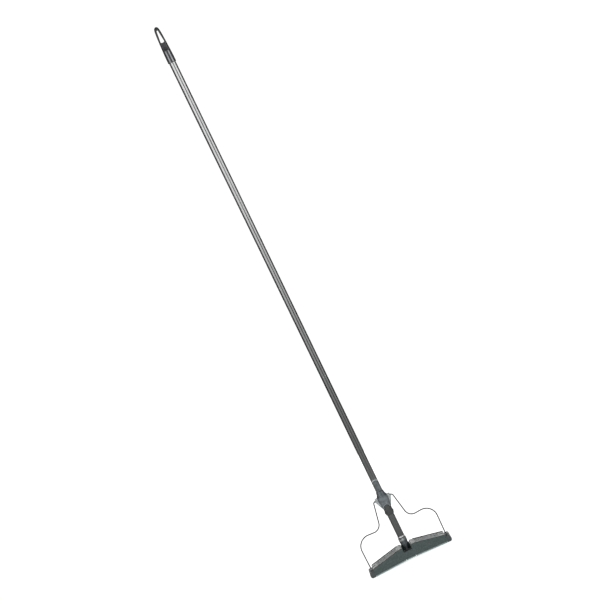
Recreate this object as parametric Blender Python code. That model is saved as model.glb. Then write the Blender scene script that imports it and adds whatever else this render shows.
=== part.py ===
"""Flat mop with a squeeze-to-fold head, as an assembly of separate solids.

World frame, in metres: X runs along the head, -Y is the front and +Z is up the handle.
The origin is at the bottom centre of the head. The mop stands as it hangs: the handle is
vertical, the tilt knuckle is straight, both wings are down and the latch is shut.
"""

import math

import bmesh
import bpy
from mathutils import Matrix, Vector

MM = 0.001
CLEARANCE = 0.3 * MM

# Handle tubes
TUBE_RADIUS = 9.5 * MM
TUBE_WALL = 1.5 * MM
LOWER_TUBE_BOTTOM = 68.0 * MM
FERRULE_BOTTOM = 201.8 * MM
FERRULE_COLLAR = 34.8 * MM
FERRULE_SPIGOT = 25.0 * MM
FERRULE_BORE = 5.0 * MM
UPPER_TUBE_LENGTH = 1267.0 * MM

# Hang cap
CAP_OVERLAP = 30.0 * MM
CAP_LENGTH = 103.0 * MM
CAP_RADIUS = 11.5 * MM
CAP_HOLE_BOTTOM = 58.0 * MM
CAP_HOLE_LENGTH = 35.0 * MM
CAP_HOLE_WIDTH = 10.0 * MM
CAP_HOLE_TOP_WIDTH = 3.6 * MM

# Latch sleeve, buttons and spring
SLEEVE_RADIUS = 11.5 * MM
SLEEVE_BOTTOM = 132.2 * MM
SLEEVE_LENGTH = 32.4 * MM
SLEEVE_CHAMFER = 1.2 * MM
BUTTON_Z = 140.3 * MM
BUTTON_HEIGHT = 6.0 * MM
BUTTON_DEPTH = 5.4 * MM
BUTTON_REACH = 12.6 * MM
BUTTON_TRAVEL = 2.0 * MM
ARM_THICKNESS = 2.3 * MM
ARM_SINK = 0.6 * MM
ARM_BOTTOM = 136.0 * MM
HOOK_STANDOFF = 1.8 * MM
HOOK_HEIGHT = 3.6 * MM
LEDGE_THICKNESS = 2.0 * MM
SPRING_RADIUS = 1.6 * MM
SPRING_WIRE = 0.3 * MM
SPRING_TURNS = 7

# Yoke that slides on the lower tube
YOKE_TOP = FERRULE_BOTTOM
YOKE_LENGTH = 48.0 * MM
YOKE_NECK_RADIUS = 10.6 * MM
YOKE_BODY_RADIUS = 15.6 * MM
YOKE_SKIRT_RADIUS = 13.0 * MM
ARCH_RADIUS = 8.6 * MM
EAR_THICKNESS = 2.0 * MM
EAR_REACH = 22.2 * MM
PIVOT_X = 19.5 * MM
PIVOT_Z = 180.0 * MM

# Brace wires
WIRE_RADIUS = 1.6 * MM
WIRE_SHOULDER_X = 27.9 * MM
WIRE_LEAN = math.radians(10.9)
WIRE_BEND_Z = 104.8 * MM
WIRE_RISE = math.radians(3.5)
WIRE_OUTER_X = 113.0 * MM
SHOULDER_BEND = 4.5 * MM
INNER_BEND = 22.0 * MM
OUTER_BEND = 32.0 * MM
BALL_RADIUS = 3.0 * MM
TRUNNION_RADIUS = 3.2 * MM
TRUNNION_LENGTH = 6.6 * MM
TRUNNION_NOSE = 6.0 * MM
PIVOT_PIN_RADIUS = 1.2 * MM
PIVOT_PIN_HEAD = 2.1 * MM

# Head: two wings hinged on a hub. Heights in a wing are above the face of its strip.
WING_DROOP = math.radians(2.3)
ROOF_SLOPE = math.radians(9.4)
HEAD_DEPTH = 70.0 * MM
HINGE_X = 15.5 * MM
HINGE_HEIGHT = 33.5 * MM
ROOF_ABOVE_HINGE = 4.65 * MM
WING_INNER = 0.2 * MM
SHELL_OUTER = 91.9 * MM
SHELL_WALL = 2.0 * MM
SHELL_BOTTOM = 4.5 * MM
STRIP_THICKNESS = 4.2 * MM
STRIP_MARGIN = 0.5 * MM
PLATE_THICKNESS = 3.0 * MM
END_CAP_LENGTH = 14.0 * MM
END_CAP_BOTTOM = 1.5 * MM
END_CAP_TOP = 18.0 * MM
FOOT_ALONG = 96.2 * MM
FOOT_HEIGHT = 18.9 * MM
FOOT_SLIP = 12.5 * MM
FOOT_CHANNEL = 7.4 * MM
BARREL_RADIUS = 3.3 * MM
HINGE_PIN_RADIUS = 1.5 * MM
HUB_BARREL_START = 8.0 * MM
HUB_BARREL_END = 20.0 * MM
HUB_TO_HINGE = 2.3 * MM
HUB_CHEEK = 1.5 * MM
HUB_FRONT_HEIGHT = 24.0 * MM
HUB_LIP = 1.5 * MM
HUB_RECESS = 2.4 * MM
APRON_GAP = 0.3 * MM
TILT_PIN_RADIUS = 2.3 * MM
SCREW_RADIUS = 1.3 * MM
SCREW_HEAD_RADIUS = 2.7 * MM
SCREW_HEAD_HEIGHT = 1.2 * MM
BOSS_RADIUS = 3.6 * MM
BOSS_PLACES = (28.0 * MM, 60.0 * MM)
TAB_START = 9.5 * MM
TAB_HEIGHT = 5.0 * MM
TAB_SCREW_Y = 22.0 * MM

# Knuckle
KNUCKLE_RADIUS = 11.25 * MM
KNUCKLE_TOP = 62.6 * MM
RING_RADIUS = 10.55 * MM
TONGUE_HALF_WIDTH = 5.3 * MM
TONGUE_RADIUS = 7.3 * MM
EYELET_X = -5.9 * MM
EYELET_Z = 57.3 * MM

# Sizes that follow from the ones above
TUBE_BORE = TUBE_RADIUS - TUBE_WALL
SLIDING_BORE = TUBE_RADIUS + CLEARANCE
PLUG_RADIUS = TUBE_BORE - CLEARANCE
UPPER_TUBE_BOTTOM = FERRULE_BOTTOM + FERRULE_COLLAR + CLEARANCE
UPPER_TUBE_TOP = UPPER_TUBE_BOTTOM + UPPER_TUBE_LENGTH
CAP_BOTTOM = UPPER_TUBE_TOP - CAP_OVERLAP
SLEEVE_TOP = SLEEVE_BOTTOM + SLEEVE_LENGTH
SLOT_HALF_DEPTH = BUTTON_DEPTH / 2 + CLEARANCE
ARM_OUTSIDE = TUBE_RADIUS - ARM_SINK
ARM_INSIDE = ARM_OUTSIDE - ARM_THICKNESS
HOOK_REACH = TUBE_RADIUS + HOOK_STANDOFF
LEDGE_BOTTOM = SLEEVE_TOP + 0.6 * MM
HOOK_BOTTOM = LEDGE_BOTTOM + LEDGE_THICKNESS + 0.5 * MM
HOOK_TOP = HOOK_BOTTOM + HOOK_HEIGHT
YOKE_BOTTOM = YOKE_TOP - YOKE_LENGTH
EAR_INSIDE = TRUNNION_LENGTH / 2 + CLEARANCE
HALF_DEPTH = HEAD_DEPTH / 2
HUB_HALF_DEPTH = HALF_DEPTH - HUB_RECESS
HUB_HALF_WIDTH = HINGE_X - HUB_TO_HINGE
HUB_BOTTOM = SHELL_OUTER * math.sin(WING_DROOP)
HINGE_Z = HUB_BOTTOM + HINGE_HEIGHT * math.cos(WING_DROOP)
FOOT_DROP = HINGE_HEIGHT - FOOT_HEIGHT
FOOT_X = HINGE_X + FOOT_ALONG * math.cos(WING_DROOP) - FOOT_DROP * math.sin(WING_DROOP)
FOOT_Z = HINGE_Z - FOOT_ALONG * math.sin(WING_DROOP) - FOOT_DROP * math.cos(WING_DROOP)
HUB_FLOOR = HUB_BOTTOM + SHELL_BOTTOM
HUB_FLOOR_TOP = FOOT_Z - TONGUE_RADIUS - 2 * CLEARANCE
SWING_RADIUS = BARREL_RADIUS + 0.5 * MM
SIDES = (("left", -1), ("right", 1))
X_AXIS = Vector((1, 0, 0))
Y_AXIS = Vector((0, 1, 0))
Z_AXIS = Vector((0, 0, 1))


def clear_scene():
    """Remove every object that the file opened with."""
    for obj in list(bpy.data.objects):
        bpy.data.objects.remove(obj, do_unlink=True)


def make_material(name, colour, roughness, metallic=0.0):
    """A Principled material with one plain colour."""
    material = bpy.data.materials.new(name)
    material.use_nodes = True
    shader = material.node_tree.nodes["Principled BSDF"]
    shader.inputs["Base Color"].default_value = (*colour, 1)
    shader.inputs["Roughness"].default_value = roughness
    shader.inputs["Metallic"].default_value = metallic
    material.diffuse_color = (*colour, 1)
    return material


def make_pivot(name, place, turn=0.0):
    """An empty on a joint's axis, turned about Y. Moving pieces hang from it."""
    empty = bpy.data.objects.new(name, None)
    empty.matrix_world = Matrix.Translation(place) @ Matrix.Rotation(turn, 4, "Y")
    empty.empty_display_size = 0.01
    bpy.context.scene.collection.objects.link(empty)
    return empty


def box(x0, x1, y0, y1, z0, z1):
    """A box between two corners."""
    shape = bmesh.new()
    bmesh.ops.create_cube(shape, size=1)
    size = Matrix.Diagonal((x1 - x0, y1 - y0, z1 - z0, 1))
    centre = Matrix.Translation(((x0 + x1) / 2, (y0 + y1) / 2, (z0 + z1) / 2))
    bmesh.ops.transform(shape, matrix=centre @ size, verts=shape.verts)
    return shape


def rod(start, axis, length, radius, segments=20):
    """A cylinder from a point along an axis."""
    shape = bmesh.new()
    bmesh.ops.create_cone(
        shape, cap_ends=True, segments=segments, radius1=radius, radius2=radius, depth=length
    )
    turn = Z_AXIS.rotation_difference(axis).to_matrix().to_4x4()
    centre = Vector(start) + axis * (length / 2)
    bmesh.ops.transform(shape, matrix=Matrix.Translation(centre) @ turn, verts=shape.verts)
    return shape


def ball(centre, radius):
    """A sphere."""
    shape = bmesh.new()
    bmesh.ops.create_uvsphere(shape, u_segments=16, v_segments=10, radius=radius)
    bmesh.ops.translate(shape, vec=Vector(centre), verts=shape.verts)
    return shape


def prism(outline, y0, y1):
    """A solid between two Y planes over an outline of (x, z) points."""
    shape = bmesh.new()
    face = shape.faces.new([shape.verts.new((x, y0, z)) for x, z in outline])
    grown = bmesh.ops.extrude_face_region(shape, geom=[face])["geom"]
    moved = [item for item in grown if isinstance(item, bmesh.types.BMVert)]
    bmesh.ops.translate(shape, vec=(0, y1 - y0, 0), verts=moved)
    bmesh.ops.recalc_face_normals(shape, faces=shape.faces)
    return shape


def turned(profile, segments=32):
    """A ring-shaped solid from a closed profile of (radius, z) points, turned about Z."""
    shape = bmesh.new()
    rings = []
    for step in range(segments):
        angle = math.tau * step / segments
        across, along = math.cos(angle), math.sin(angle)
        rings.append([shape.verts.new((r * across, r * along, z)) for r, z in profile])
    for step, ring in enumerate(rings):
        following = rings[(step + 1) % segments]
        for index in range(len(profile)):
            after = (index + 1) % len(profile)
            corners = (ring[index], following[index], following[after], ring[after])
            shape.faces.new(corners)
    bmesh.ops.recalc_face_normals(shape, faces=shape.faces)
    return shape


def loft(sections, segments=32):
    """A solid through elliptical sections of (z, half width, half depth), with flat ends."""
    shape = bmesh.new()
    rings = []
    for z, half_width, half_depth in sections:
        angles = [math.tau * step / segments for step in range(segments)]
        points = [(half_width * math.cos(a), half_depth * math.sin(a), z) for a in angles]
        rings.append([shape.verts.new(point) for point in points])
    for lower, upper in zip(rings, rings[1:]):
        for index in range(segments):
            after = (index + 1) % segments
            shape.faces.new((lower[index], lower[after], upper[after], upper[index]))
    shape.faces.new(rings[0])
    shape.faces.new(rings[-1])
    bmesh.ops.recalc_face_normals(shape, faces=shape.faces)
    return shape


def combine(first, second, operation):
    """The exact Boolean of two shapes, as a new shape. Both are used up."""
    objects = []
    for shape in (first, second):
        mesh = bpy.data.meshes.new("working")
        shape.to_mesh(mesh)
        shape.free()
        objects.append(bpy.data.objects.new("working", mesh))
        bpy.context.scene.collection.objects.link(objects[-1])
    base, tool = objects
    modifier = base.modifiers.new("combine", "BOOLEAN")
    modifier.operation = operation
    modifier.solver = "EXACT"
    modifier.object = tool
    result = bmesh.new()
    result.from_object(base, bpy.context.evaluated_depsgraph_get())
    for obj in objects:
        bpy.data.objects.remove(obj, do_unlink=True)
    return result


def cut(shape, *tools):
    """The shape with each tool cut away."""
    for tool in tools:
        shape = combine(shape, tool, "DIFFERENCE")
    return shape


def join(shape, *others):
    """The shape with each other shape added."""
    for other in others:
        shape = combine(shape, other, "UNION")
    return shape


def place(name, shape, material, pivot=None, side=1, in_pivot_space=False):
    """Make a node of a shape. The shape is in world space, or already in its pivot's.

    A shape is drawn for the right side. Side -1 mirrors it to the left.
    """
    if side < 0:
        bmesh.ops.scale(shape, vec=(-1, 1, 1), verts=shape.verts)
        bmesh.ops.reverse_faces(shape, faces=shape.faces)
    if pivot is not None and not in_pivot_space:
        bmesh.ops.transform(shape, matrix=pivot.matrix_world.inverted(), verts=shape.verts)
    mesh = bpy.data.meshes.new(name)
    shape.to_mesh(mesh)
    shape.free()
    mesh.shade_smooth()
    mesh.set_sharp_from_angle(angle=math.radians(35))
    mesh.materials.append(material)
    obj = bpy.data.objects.new(name, mesh)
    obj.parent = pivot
    bpy.context.scene.collection.objects.link(obj)
    return obj


def tube(bottom, top):
    """A length of the handle tube."""
    profile = [(TUBE_BORE, bottom), (TUBE_RADIUS, bottom), (TUBE_RADIUS, top), (TUBE_BORE, top)]
    return turned(profile)


def bent_path(corners, bends):
    """Points of an (x, z) path whose inner corners are rounded to the given radii."""
    points = [Vector(corners[0])]
    step = math.radians(8)
    for before, corner, after, radius in zip(corners, corners[1:], corners[2:], bends):
        corner = Vector(corner)
        arriving = (corner - Vector(before)).normalized()
        leaving = (Vector(after) - corner).normalized()
        turn = arriving.angle_signed(leaving)
        setback = radius * math.tan(abs(turn) / 2)
        count = max(2, math.ceil(abs(turn) / step))
        start = corner - arriving * setback
        # mathutils counts a 2-D angle clockwise, so a positive turn bends to the right.
        inward = Vector((arriving.y, -arriving.x)) * math.copysign(1, turn)
        centre = start + inward * radius
        for index in range(count + 1):
            spoke = (start - centre).copy()
            spoke.rotate(Matrix.Rotation(-turn * index / count, 2))
            points.append(centre + spoke)
    points.append(Vector(corners[-1]))
    return points


def swept(points, radius, segments=10):
    """A round wire along (x, z) points, mitred where it bends, with flat ends."""
    shape = bmesh.new()
    rings = []
    for index, point in enumerate(points):
        before = points[max(index - 1, 0)]
        after = points[min(index + 1, len(points) - 1)]
        along = (after - before).normalized()
        across = Vector((along.y, -along.x))
        ring = []
        for step in range(segments):
            angle = math.tau * step / segments
            out = across * (radius * math.cos(angle))
            place_3d = (point.x + out.x, radius * math.sin(angle), point.y + out.y)
            ring.append(shape.verts.new(place_3d))
        rings.append(ring)
    for lower, upper in zip(rings, rings[1:]):
        for index in range(segments):
            following = (index + 1) % segments
            shape.faces.new((lower[index], lower[following], upper[following], upper[index]))
    shape.faces.new(rings[0])
    shape.faces.new(rings[-1])
    bmesh.ops.recalc_face_normals(shape, faces=shape.faces)
    return shape


def coil(length, radius, wire, turns, sides=6, steps=12):
    """A round helical spring along X, centred on the origin, with flat ends."""
    shape = bmesh.new()
    rings = []
    count = turns * steps
    for index in range(count + 1):
        angle = math.tau * index / steps
        centre_x = -length / 2 + wire + (length - 2 * wire) * index / count
        ring = []
        for side in range(sides):
            around = math.tau * side / sides
            reach = radius - wire + wire * math.cos(around)
            x = centre_x + wire * math.sin(around)
            ring.append(shape.verts.new((x, reach * math.cos(angle), reach * math.sin(angle))))
        rings.append(ring)
    for lower, upper in zip(rings, rings[1:]):
        for side in range(sides):
            after = (side + 1) % sides
            shape.faces.new((lower[side], lower[after], upper[after], upper[side]))
    shape.faces.new(rings[0])
    shape.faces.new(rings[-1])
    bmesh.ops.recalc_face_normals(shape, faces=shape.faces)
    return shape


def roof(along):
    """Height of a wing's roof above its hinge axis, at a distance along the wing."""
    return ROOF_ABOVE_HINGE - along * math.tan(ROOF_SLOPE)


def above_strip(height):
    """Z in a wing's own frame of a height above the face of its strip."""
    return height - HINGE_HEIGHT


def build_hang_cap(material):
    """Tapered cap with a tear-shaped hang hole, bored to fit over the tube."""
    shares = (
        (0.0, 1.0, 1.0),
        (0.25, 0.965, 0.965),
        (0.39, 0.92, 0.85),
        (0.52, 0.87, 0.70),
        (0.68, 0.80, 0.61),
        (0.83, 0.71, 0.56),
        (0.91, 0.63, 0.52),
        (0.96, 0.50, 0.43),
        (0.99, 0.30, 0.26),
        (1.0, 0.12, 0.10),
    )
    sections = [
        (CAP_BOTTOM + CAP_LENGTH * share, CAP_RADIUS * wide, CAP_RADIUS * deep)
        for share, wide, deep in shares
    ]
    bore_start = (0, 0, CAP_BOTTOM - 5 * MM)
    bore = rod(bore_start, Z_AXIS, CAP_OVERLAP + 5 * MM + CLEARANCE, SLIDING_BORE, 32)
    low = CAP_BOTTOM + CAP_HOLE_BOTTOM
    high = low + CAP_HOLE_LENGTH
    wide = CAP_HOLE_WIDTH / 2
    narrow = CAP_HOLE_TOP_WIDTH / 2
    corner = 1.2 * MM
    half = [(wide - corner, low), (wide, low + corner), (wide * 0.94, low + CAP_HOLE_LENGTH * 0.3)]
    half += [(narrow, high - corner), (narrow - corner * 0.6, high)]
    outline = half + [(-x, z) for x, z in reversed(half)]
    hole = prism(outline, -2 * CAP_RADIUS, 2 * CAP_RADIUS)
    return place("hang_cap", cut(loft(sections), bore, hole), material)


def build_handle(metal, collar_plastic):
    """Upper tube, lower tube with the two latch slots, and the ferrule that joins them."""
    place("upper_tube", tube(UPPER_TUBE_BOTTOM, UPPER_TUBE_TOP), metal)
    lower = tube(LOWER_TUBE_BOTTOM, FERRULE_BOTTOM - CLEARANCE)
    slot_bottom = ARM_BOTTOM - 2 * CLEARANCE
    slot_top = HOOK_TOP + 2 * CLEARANCE
    reach = 2 * TUBE_RADIUS
    slot = box(-reach, reach, -SLOT_HALF_DEPTH, SLOT_HALF_DEPTH, slot_bottom, slot_top)
    place("lower_tube", cut(lower, slot), metal)
    collar_top = FERRULE_BOTTOM + FERRULE_COLLAR
    rim = 0.8 * MM
    profile = [
        (FERRULE_BORE, FERRULE_BOTTOM - FERRULE_SPIGOT),
        (PLUG_RADIUS, FERRULE_BOTTOM - FERRULE_SPIGOT),
        (PLUG_RADIUS, FERRULE_BOTTOM),
        (TUBE_RADIUS, FERRULE_BOTTOM),
        (TUBE_RADIUS, collar_top - rim),
        (TUBE_RADIUS - rim / 2, collar_top),
        (PLUG_RADIUS, collar_top),
        (PLUG_RADIUS, collar_top + FERRULE_SPIGOT),
        (FERRULE_BORE, collar_top + FERRULE_SPIGOT),
    ]
    place("joint_ferrule", turned(profile), collar_plastic)


def build_latch(plastic, steel, buttons):
    """Sleeve fixed on the tube, its screw, the two squeeze buttons and their spring."""
    profile = [
        (SLIDING_BORE, SLEEVE_BOTTOM),
        (SLEEVE_RADIUS - SLEEVE_CHAMFER, SLEEVE_BOTTOM),
        (SLEEVE_RADIUS, SLEEVE_BOTTOM + 2 * SLEEVE_CHAMFER),
        (SLEEVE_RADIUS, SLEEVE_TOP - SLEEVE_CHAMFER / 2),
        (SLEEVE_RADIUS - SLEEVE_CHAMFER / 2, SLEEVE_TOP),
        (SLIDING_BORE, SLEEVE_TOP),
    ]
    gap = CLEARANCE + BUTTON_HEIGHT / 2
    reach = 2 * SLEEVE_RADIUS
    window = box(-reach, reach, -SLOT_HALF_DEPTH, SLOT_HALF_DEPTH, BUTTON_Z - gap, BUTTON_Z + gap)
    screw_z = SLEEVE_BOTTOM + SLEEVE_LENGTH / 2
    screw_hole = rod((0, 0, screw_z), Y_AXIS, reach, SCREW_RADIUS + CLEARANCE)
    sleeve = cut(turned(profile), window, screw_hole)
    place("latch_sleeve", sleeve, plastic)
    screw_start = (0, TUBE_RADIUS + CLEARANCE / 2, screw_z)
    shank = rod(screw_start, Y_AXIS, SLEEVE_RADIUS - TUBE_RADIUS + 0.6 * MM, SCREW_RADIUS, 12)
    head = rod((0, SLEEVE_RADIUS + CLEARANCE, screw_z), Y_AXIS, 0.9 * MM, 2 * MM, 16)
    place("sleeve_screw", join(shank, head), steel)

    pocket = SPRING_RADIUS + 0.2 * MM
    pocket_end = BUTTON_REACH - 1.6 * MM
    spring_half = pocket_end - BUTTON_TRAVEL - CLEARANCE
    low = BUTTON_Z - BUTTON_HEIGHT / 2
    high = BUTTON_Z + BUTTON_HEIGHT / 2
    round_off = 0.9 * MM
    outline = [
        (ARM_INSIDE, ARM_BOTTOM),
        (ARM_OUTSIDE, ARM_BOTTOM),
        (ARM_OUTSIDE, low),
        (BUTTON_REACH - round_off, low),
        (BUTTON_REACH, low + round_off),
        (BUTTON_REACH, high - round_off),
        (BUTTON_REACH - round_off, high),
        (ARM_OUTSIDE, high),
        (ARM_OUTSIDE, HOOK_BOTTOM),
        (HOOK_REACH, HOOK_BOTTOM),
        (HOOK_REACH, HOOK_BOTTOM + HOOK_HEIGHT * 0.5),
        (ARM_OUTSIDE, HOOK_TOP),
        (ARM_INSIDE, HOOK_TOP),
    ]
    for word, side in SIDES:
        pivot = make_pivot(f"button_slide_{word}", (side * BUTTON_REACH, 0, BUTTON_Z))
        button = prism(outline, -BUTTON_DEPTH / 2, BUTTON_DEPTH / 2)
        hole = rod((0, 0, BUTTON_Z), X_AXIS, pocket_end, pocket, 16)
        place(f"latch_button_{word}", cut(button, hole), buttons, pivot, side)
    spring = coil(2 * spring_half, SPRING_RADIUS, SPRING_WIRE, SPRING_TURNS)
    bmesh.ops.translate(spring, vec=(0, 0, BUTTON_Z), verts=spring.verts)
    place("latch_spring", spring, steel)


def build_knuckle(plastic, ring_metal):
    """Knuckle plugged into the lower tube, its collar ring and its eyelet."""
    sections = (
        (FOOT_Z + TONGUE_RADIUS, TONGUE_HALF_WIDTH * 0.98, TONGUE_RADIUS * 0.97),
        (FOOT_Z + 12 * MM, TONGUE_HALF_WIDTH * 1.02, TONGUE_RADIUS * 1.03),
        (FOOT_Z + 25 * MM, 9.9 * MM, 9.9 * MM),
        (FOOT_Z + 30.5 * MM, 10.55 * MM, 10.55 * MM),
        (FOOT_Z + 33.5 * MM, KNUCKLE_RADIUS, KNUCKLE_RADIUS),
        (KNUCKLE_TOP, KNUCKLE_RADIUS, KNUCKLE_RADIUS),
    )
    width = TONGUE_HALF_WIDTH
    depth = TONGUE_RADIUS * 0.985
    tongue = box(-width, width, -depth, depth, FOOT_Z, FOOT_Z + TONGUE_RADIUS + 2 * MM)
    eye = rod((-width, 0, FOOT_Z), X_AXIS, 2 * width, TONGUE_RADIUS, 32)
    spigot_height = LOWER_TUBE_BOTTOM - KNUCKLE_TOP + FERRULE_SPIGOT
    spigot_start = (0, 0, KNUCKLE_TOP - 2 * MM)
    spigot = rod(spigot_start, Z_AXIS, spigot_height + 2 * MM, PLUG_RADIUS, 32)
    pin_hole = rod(
        (-2 * width, 0, FOOT_Z), X_AXIS, 4 * width, TILT_PIN_RADIUS + CLEARANCE
    )
    rivet_hole = rod((EYELET_X, -20 * MM, EYELET_Z), Y_AXIS, 16 * MM, 1.7 * MM + CLEARANCE)
    spot_face = rod((EYELET_X, -20 * MM, EYELET_Z), Y_AXIS, 11.2 * MM, 3.1 * MM)
    body = join(loft(sections), tongue, eye, spigot)
    place("knuckle", cut(body, pin_hole, rivet_hole, spot_face), plastic)
    shank = rod((EYELET_X, -9.5 * MM, EYELET_Z), Y_AXIS, 5.0 * MM, 1.7 * MM, 16)
    flange = rod((EYELET_X, -9.9 * MM, EYELET_Z), Y_AXIS, 0.8 * MM, 2.8 * MM, 20)
    eyelet_bore = rod((EYELET_X, -12 * MM, EYELET_Z), Y_AXIS, 10 * MM, 0.9 * MM, 12)
    place("knuckle_eyelet", cut(join(shank, flange), eyelet_bore), ring_metal)
    ring_bottom = KNUCKLE_TOP + CLEARANCE
    ring_top = LOWER_TUBE_BOTTOM - CLEARANCE
    bore = PLUG_RADIUS + CLEARANCE
    edge = 0.6 * MM
    profile = [
        (bore, ring_bottom),
        (RING_RADIUS - edge, ring_bottom),
        (RING_RADIUS, ring_bottom + edge),
        (RING_RADIUS, ring_top - edge),
        (RING_RADIUS - edge, ring_top),
        (bore, ring_top),
    ]
    place("collar_ring", turned(profile), ring_metal)


def build_yoke(plastic, steel, slider):
    """Bell-shaped yoke with forked ears, and the pins that carry the brace wires."""
    body = loft(
        (
            (YOKE_BOTTOM, YOKE_SKIRT_RADIUS, YOKE_SKIRT_RADIUS),
            (SLEEVE_TOP, YOKE_SKIRT_RADIUS + 1.2 * MM, YOKE_SKIRT_RADIUS + 1.2 * MM),
            (PIVOT_Z - 8 * MM, YOKE_BODY_RADIUS, YOKE_BODY_RADIUS),
            (PIVOT_Z + 5 * MM, YOKE_BODY_RADIUS, YOKE_BODY_RADIUS),
            (PIVOT_Z + 8.5 * MM, YOKE_BODY_RADIUS * 0.92, YOKE_BODY_RADIUS * 0.92),
            (PIVOT_Z + 14 * MM, YOKE_NECK_RADIUS * 1.12, YOKE_NECK_RADIUS * 1.12),
            (YOKE_TOP - CLEARANCE, YOKE_NECK_RADIUS, YOKE_NECK_RADIUS),
        )
    )
    root = SLIDING_BORE + 1.5 * MM
    outline = [
        (root, YOKE_BOTTOM + 1 * MM),
        (YOKE_SKIRT_RADIUS, YOKE_BOTTOM + 1 * MM),
        (EAR_REACH - 3.2 * MM, PIVOT_Z - 12 * MM),
        (EAR_REACH, PIVOT_Z - 3.5 * MM),
        (EAR_REACH, PIVOT_Z + 4 * MM),
        (EAR_REACH - 1.2 * MM, PIVOT_Z + 6.2 * MM),
        (root, PIVOT_Z + 7.6 * MM),
    ]
    mirrored = [(-x, z) for x, z in reversed(outline)]
    ears = []
    for front in (-EAR_INSIDE - EAR_THICKNESS, EAR_INSIDE):
        for shape in (outline, mirrored):
            ears.append(prism(shape, front, front + EAR_THICKNESS))
    bore_bottom = YOKE_BOTTOM - 5 * MM
    bore = rod((0, 0, bore_bottom), Z_AXIS, YOKE_LENGTH + 10 * MM, SLIDING_BORE, 32)
    sleeve_room = SLEEVE_RADIUS + CLEARANCE
    skirt_bore = rod((0, 0, bore_bottom), Z_AXIS, LEDGE_BOTTOM - bore_bottom, sleeve_room, 32)
    groove_bottom = LEDGE_BOTTOM + LEDGE_THICKNESS
    groove_height = HOOK_TOP + 0.5 * MM - groove_bottom
    groove = rod((0, 0, groove_bottom), Z_AXIS, groove_height, HOOK_REACH + 0.4 * MM, 32)
    reach = 2 * YOKE_BODY_RADIUS
    arch_centre = SLEEVE_TOP - 0.7 * MM - ARCH_RADIUS
    arch = rod((0, -reach, arch_centre), Y_AXIS, 2 * reach, ARCH_RADIUS, 32)
    legs = box(-ARCH_RADIUS, ARCH_RADIUS, -reach, reach, bore_bottom, arch_centre)
    hole_radius = PIVOT_PIN_RADIUS + CLEARANCE
    pin_holes = [
        rod((side * PIVOT_X, -reach, PIVOT_Z), Y_AXIS, 2 * reach, hole_radius)
        for _, side in SIDES
    ]
    yoke = cut(join(body, *ears), bore, skirt_bore, groove, join(arch, legs), *pin_holes)
    place("slide_yoke", yoke, plastic, slider)
    outside = EAR_INSIDE + EAR_THICKNESS + CLEARANCE
    head = 0.8 * MM
    for word, side in SIDES:
        start = (PIVOT_X, -outside - head / 2, PIVOT_Z)
        shank = rod(start, Y_AXIS, 2 * outside + head, PIVOT_PIN_RADIUS, 12)
        heads = [
            rod((PIVOT_X, y, PIVOT_Z), Y_AXIS, head, PIVOT_PIN_HEAD, 16)
            for y in (-outside - head, outside)
        ]
        place(f"wire_pin_{word}", join(shank, *heads), steel, slider, side)


def build_brace(word, side, plastic, steel, ball_plastic):
    """One brace wire with the trunnion at its top and the ball at its foot."""
    pivot = make_pivot(f"brace_pivot_{word}", (side * PIVOT_X, 0, PIVOT_Z))
    length = TRUNNION_LENGTH
    barrel = rod((PIVOT_X, -length / 2, PIVOT_Z), Y_AXIS, length, TRUNNION_RADIUS)
    nose = rod((PIVOT_X, 0, PIVOT_Z), X_AXIS, TRUNNION_NOSE, TRUNNION_RADIUS - 0.3 * MM)
    hole_radius = PIVOT_PIN_RADIUS + CLEARANCE
    pin_hole = rod((PIVOT_X, -length, PIVOT_Z), Y_AXIS, 2 * length, hole_radius, 16)
    socket_start = PIVOT_X + PIVOT_PIN_RADIUS + 3 * CLEARANCE
    socket = rod((socket_start, 0, PIVOT_Z), X_AXIS, 10 * MM, WIRE_RADIUS + CLEARANCE, 16)
    trunnion = cut(join(barrel, nose), pin_hole, socket)
    place(f"wire_trunnion_{word}", trunnion, plastic, pivot, side)

    shoulder = (WIRE_SHOULDER_X, PIVOT_Z)
    inner_x = WIRE_SHOULDER_X + (PIVOT_Z - WIRE_BEND_Z) * math.tan(WIRE_LEAN)
    outer_z = WIRE_BEND_Z + (WIRE_OUTER_X - inner_x) * math.tan(WIRE_RISE)
    corners = (
        (socket_start + CLEARANCE, PIVOT_Z),
        shoulder,
        (inner_x, WIRE_BEND_Z),
        (WIRE_OUTER_X, outer_z),
        (FOOT_X, FOOT_Z),
    )
    path = bent_path(corners, (SHOULDER_BEND, INNER_BEND, OUTER_BEND))
    place(f"brace_wire_{word}", swept(path, WIRE_RADIUS), steel, pivot, side)
    hole_start = (FOOT_X, 0, FOOT_Z - CLEARANCE)
    hole = rod(hole_start, Z_AXIS, 10 * MM, WIRE_RADIUS + 1.5 * CLEARANCE, 16)
    foot = cut(ball((FOOT_X, 0, FOOT_Z), BALL_RADIUS), hole)
    place(f"foot_ball_{word}", foot, ball_plastic, pivot, side)


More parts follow.
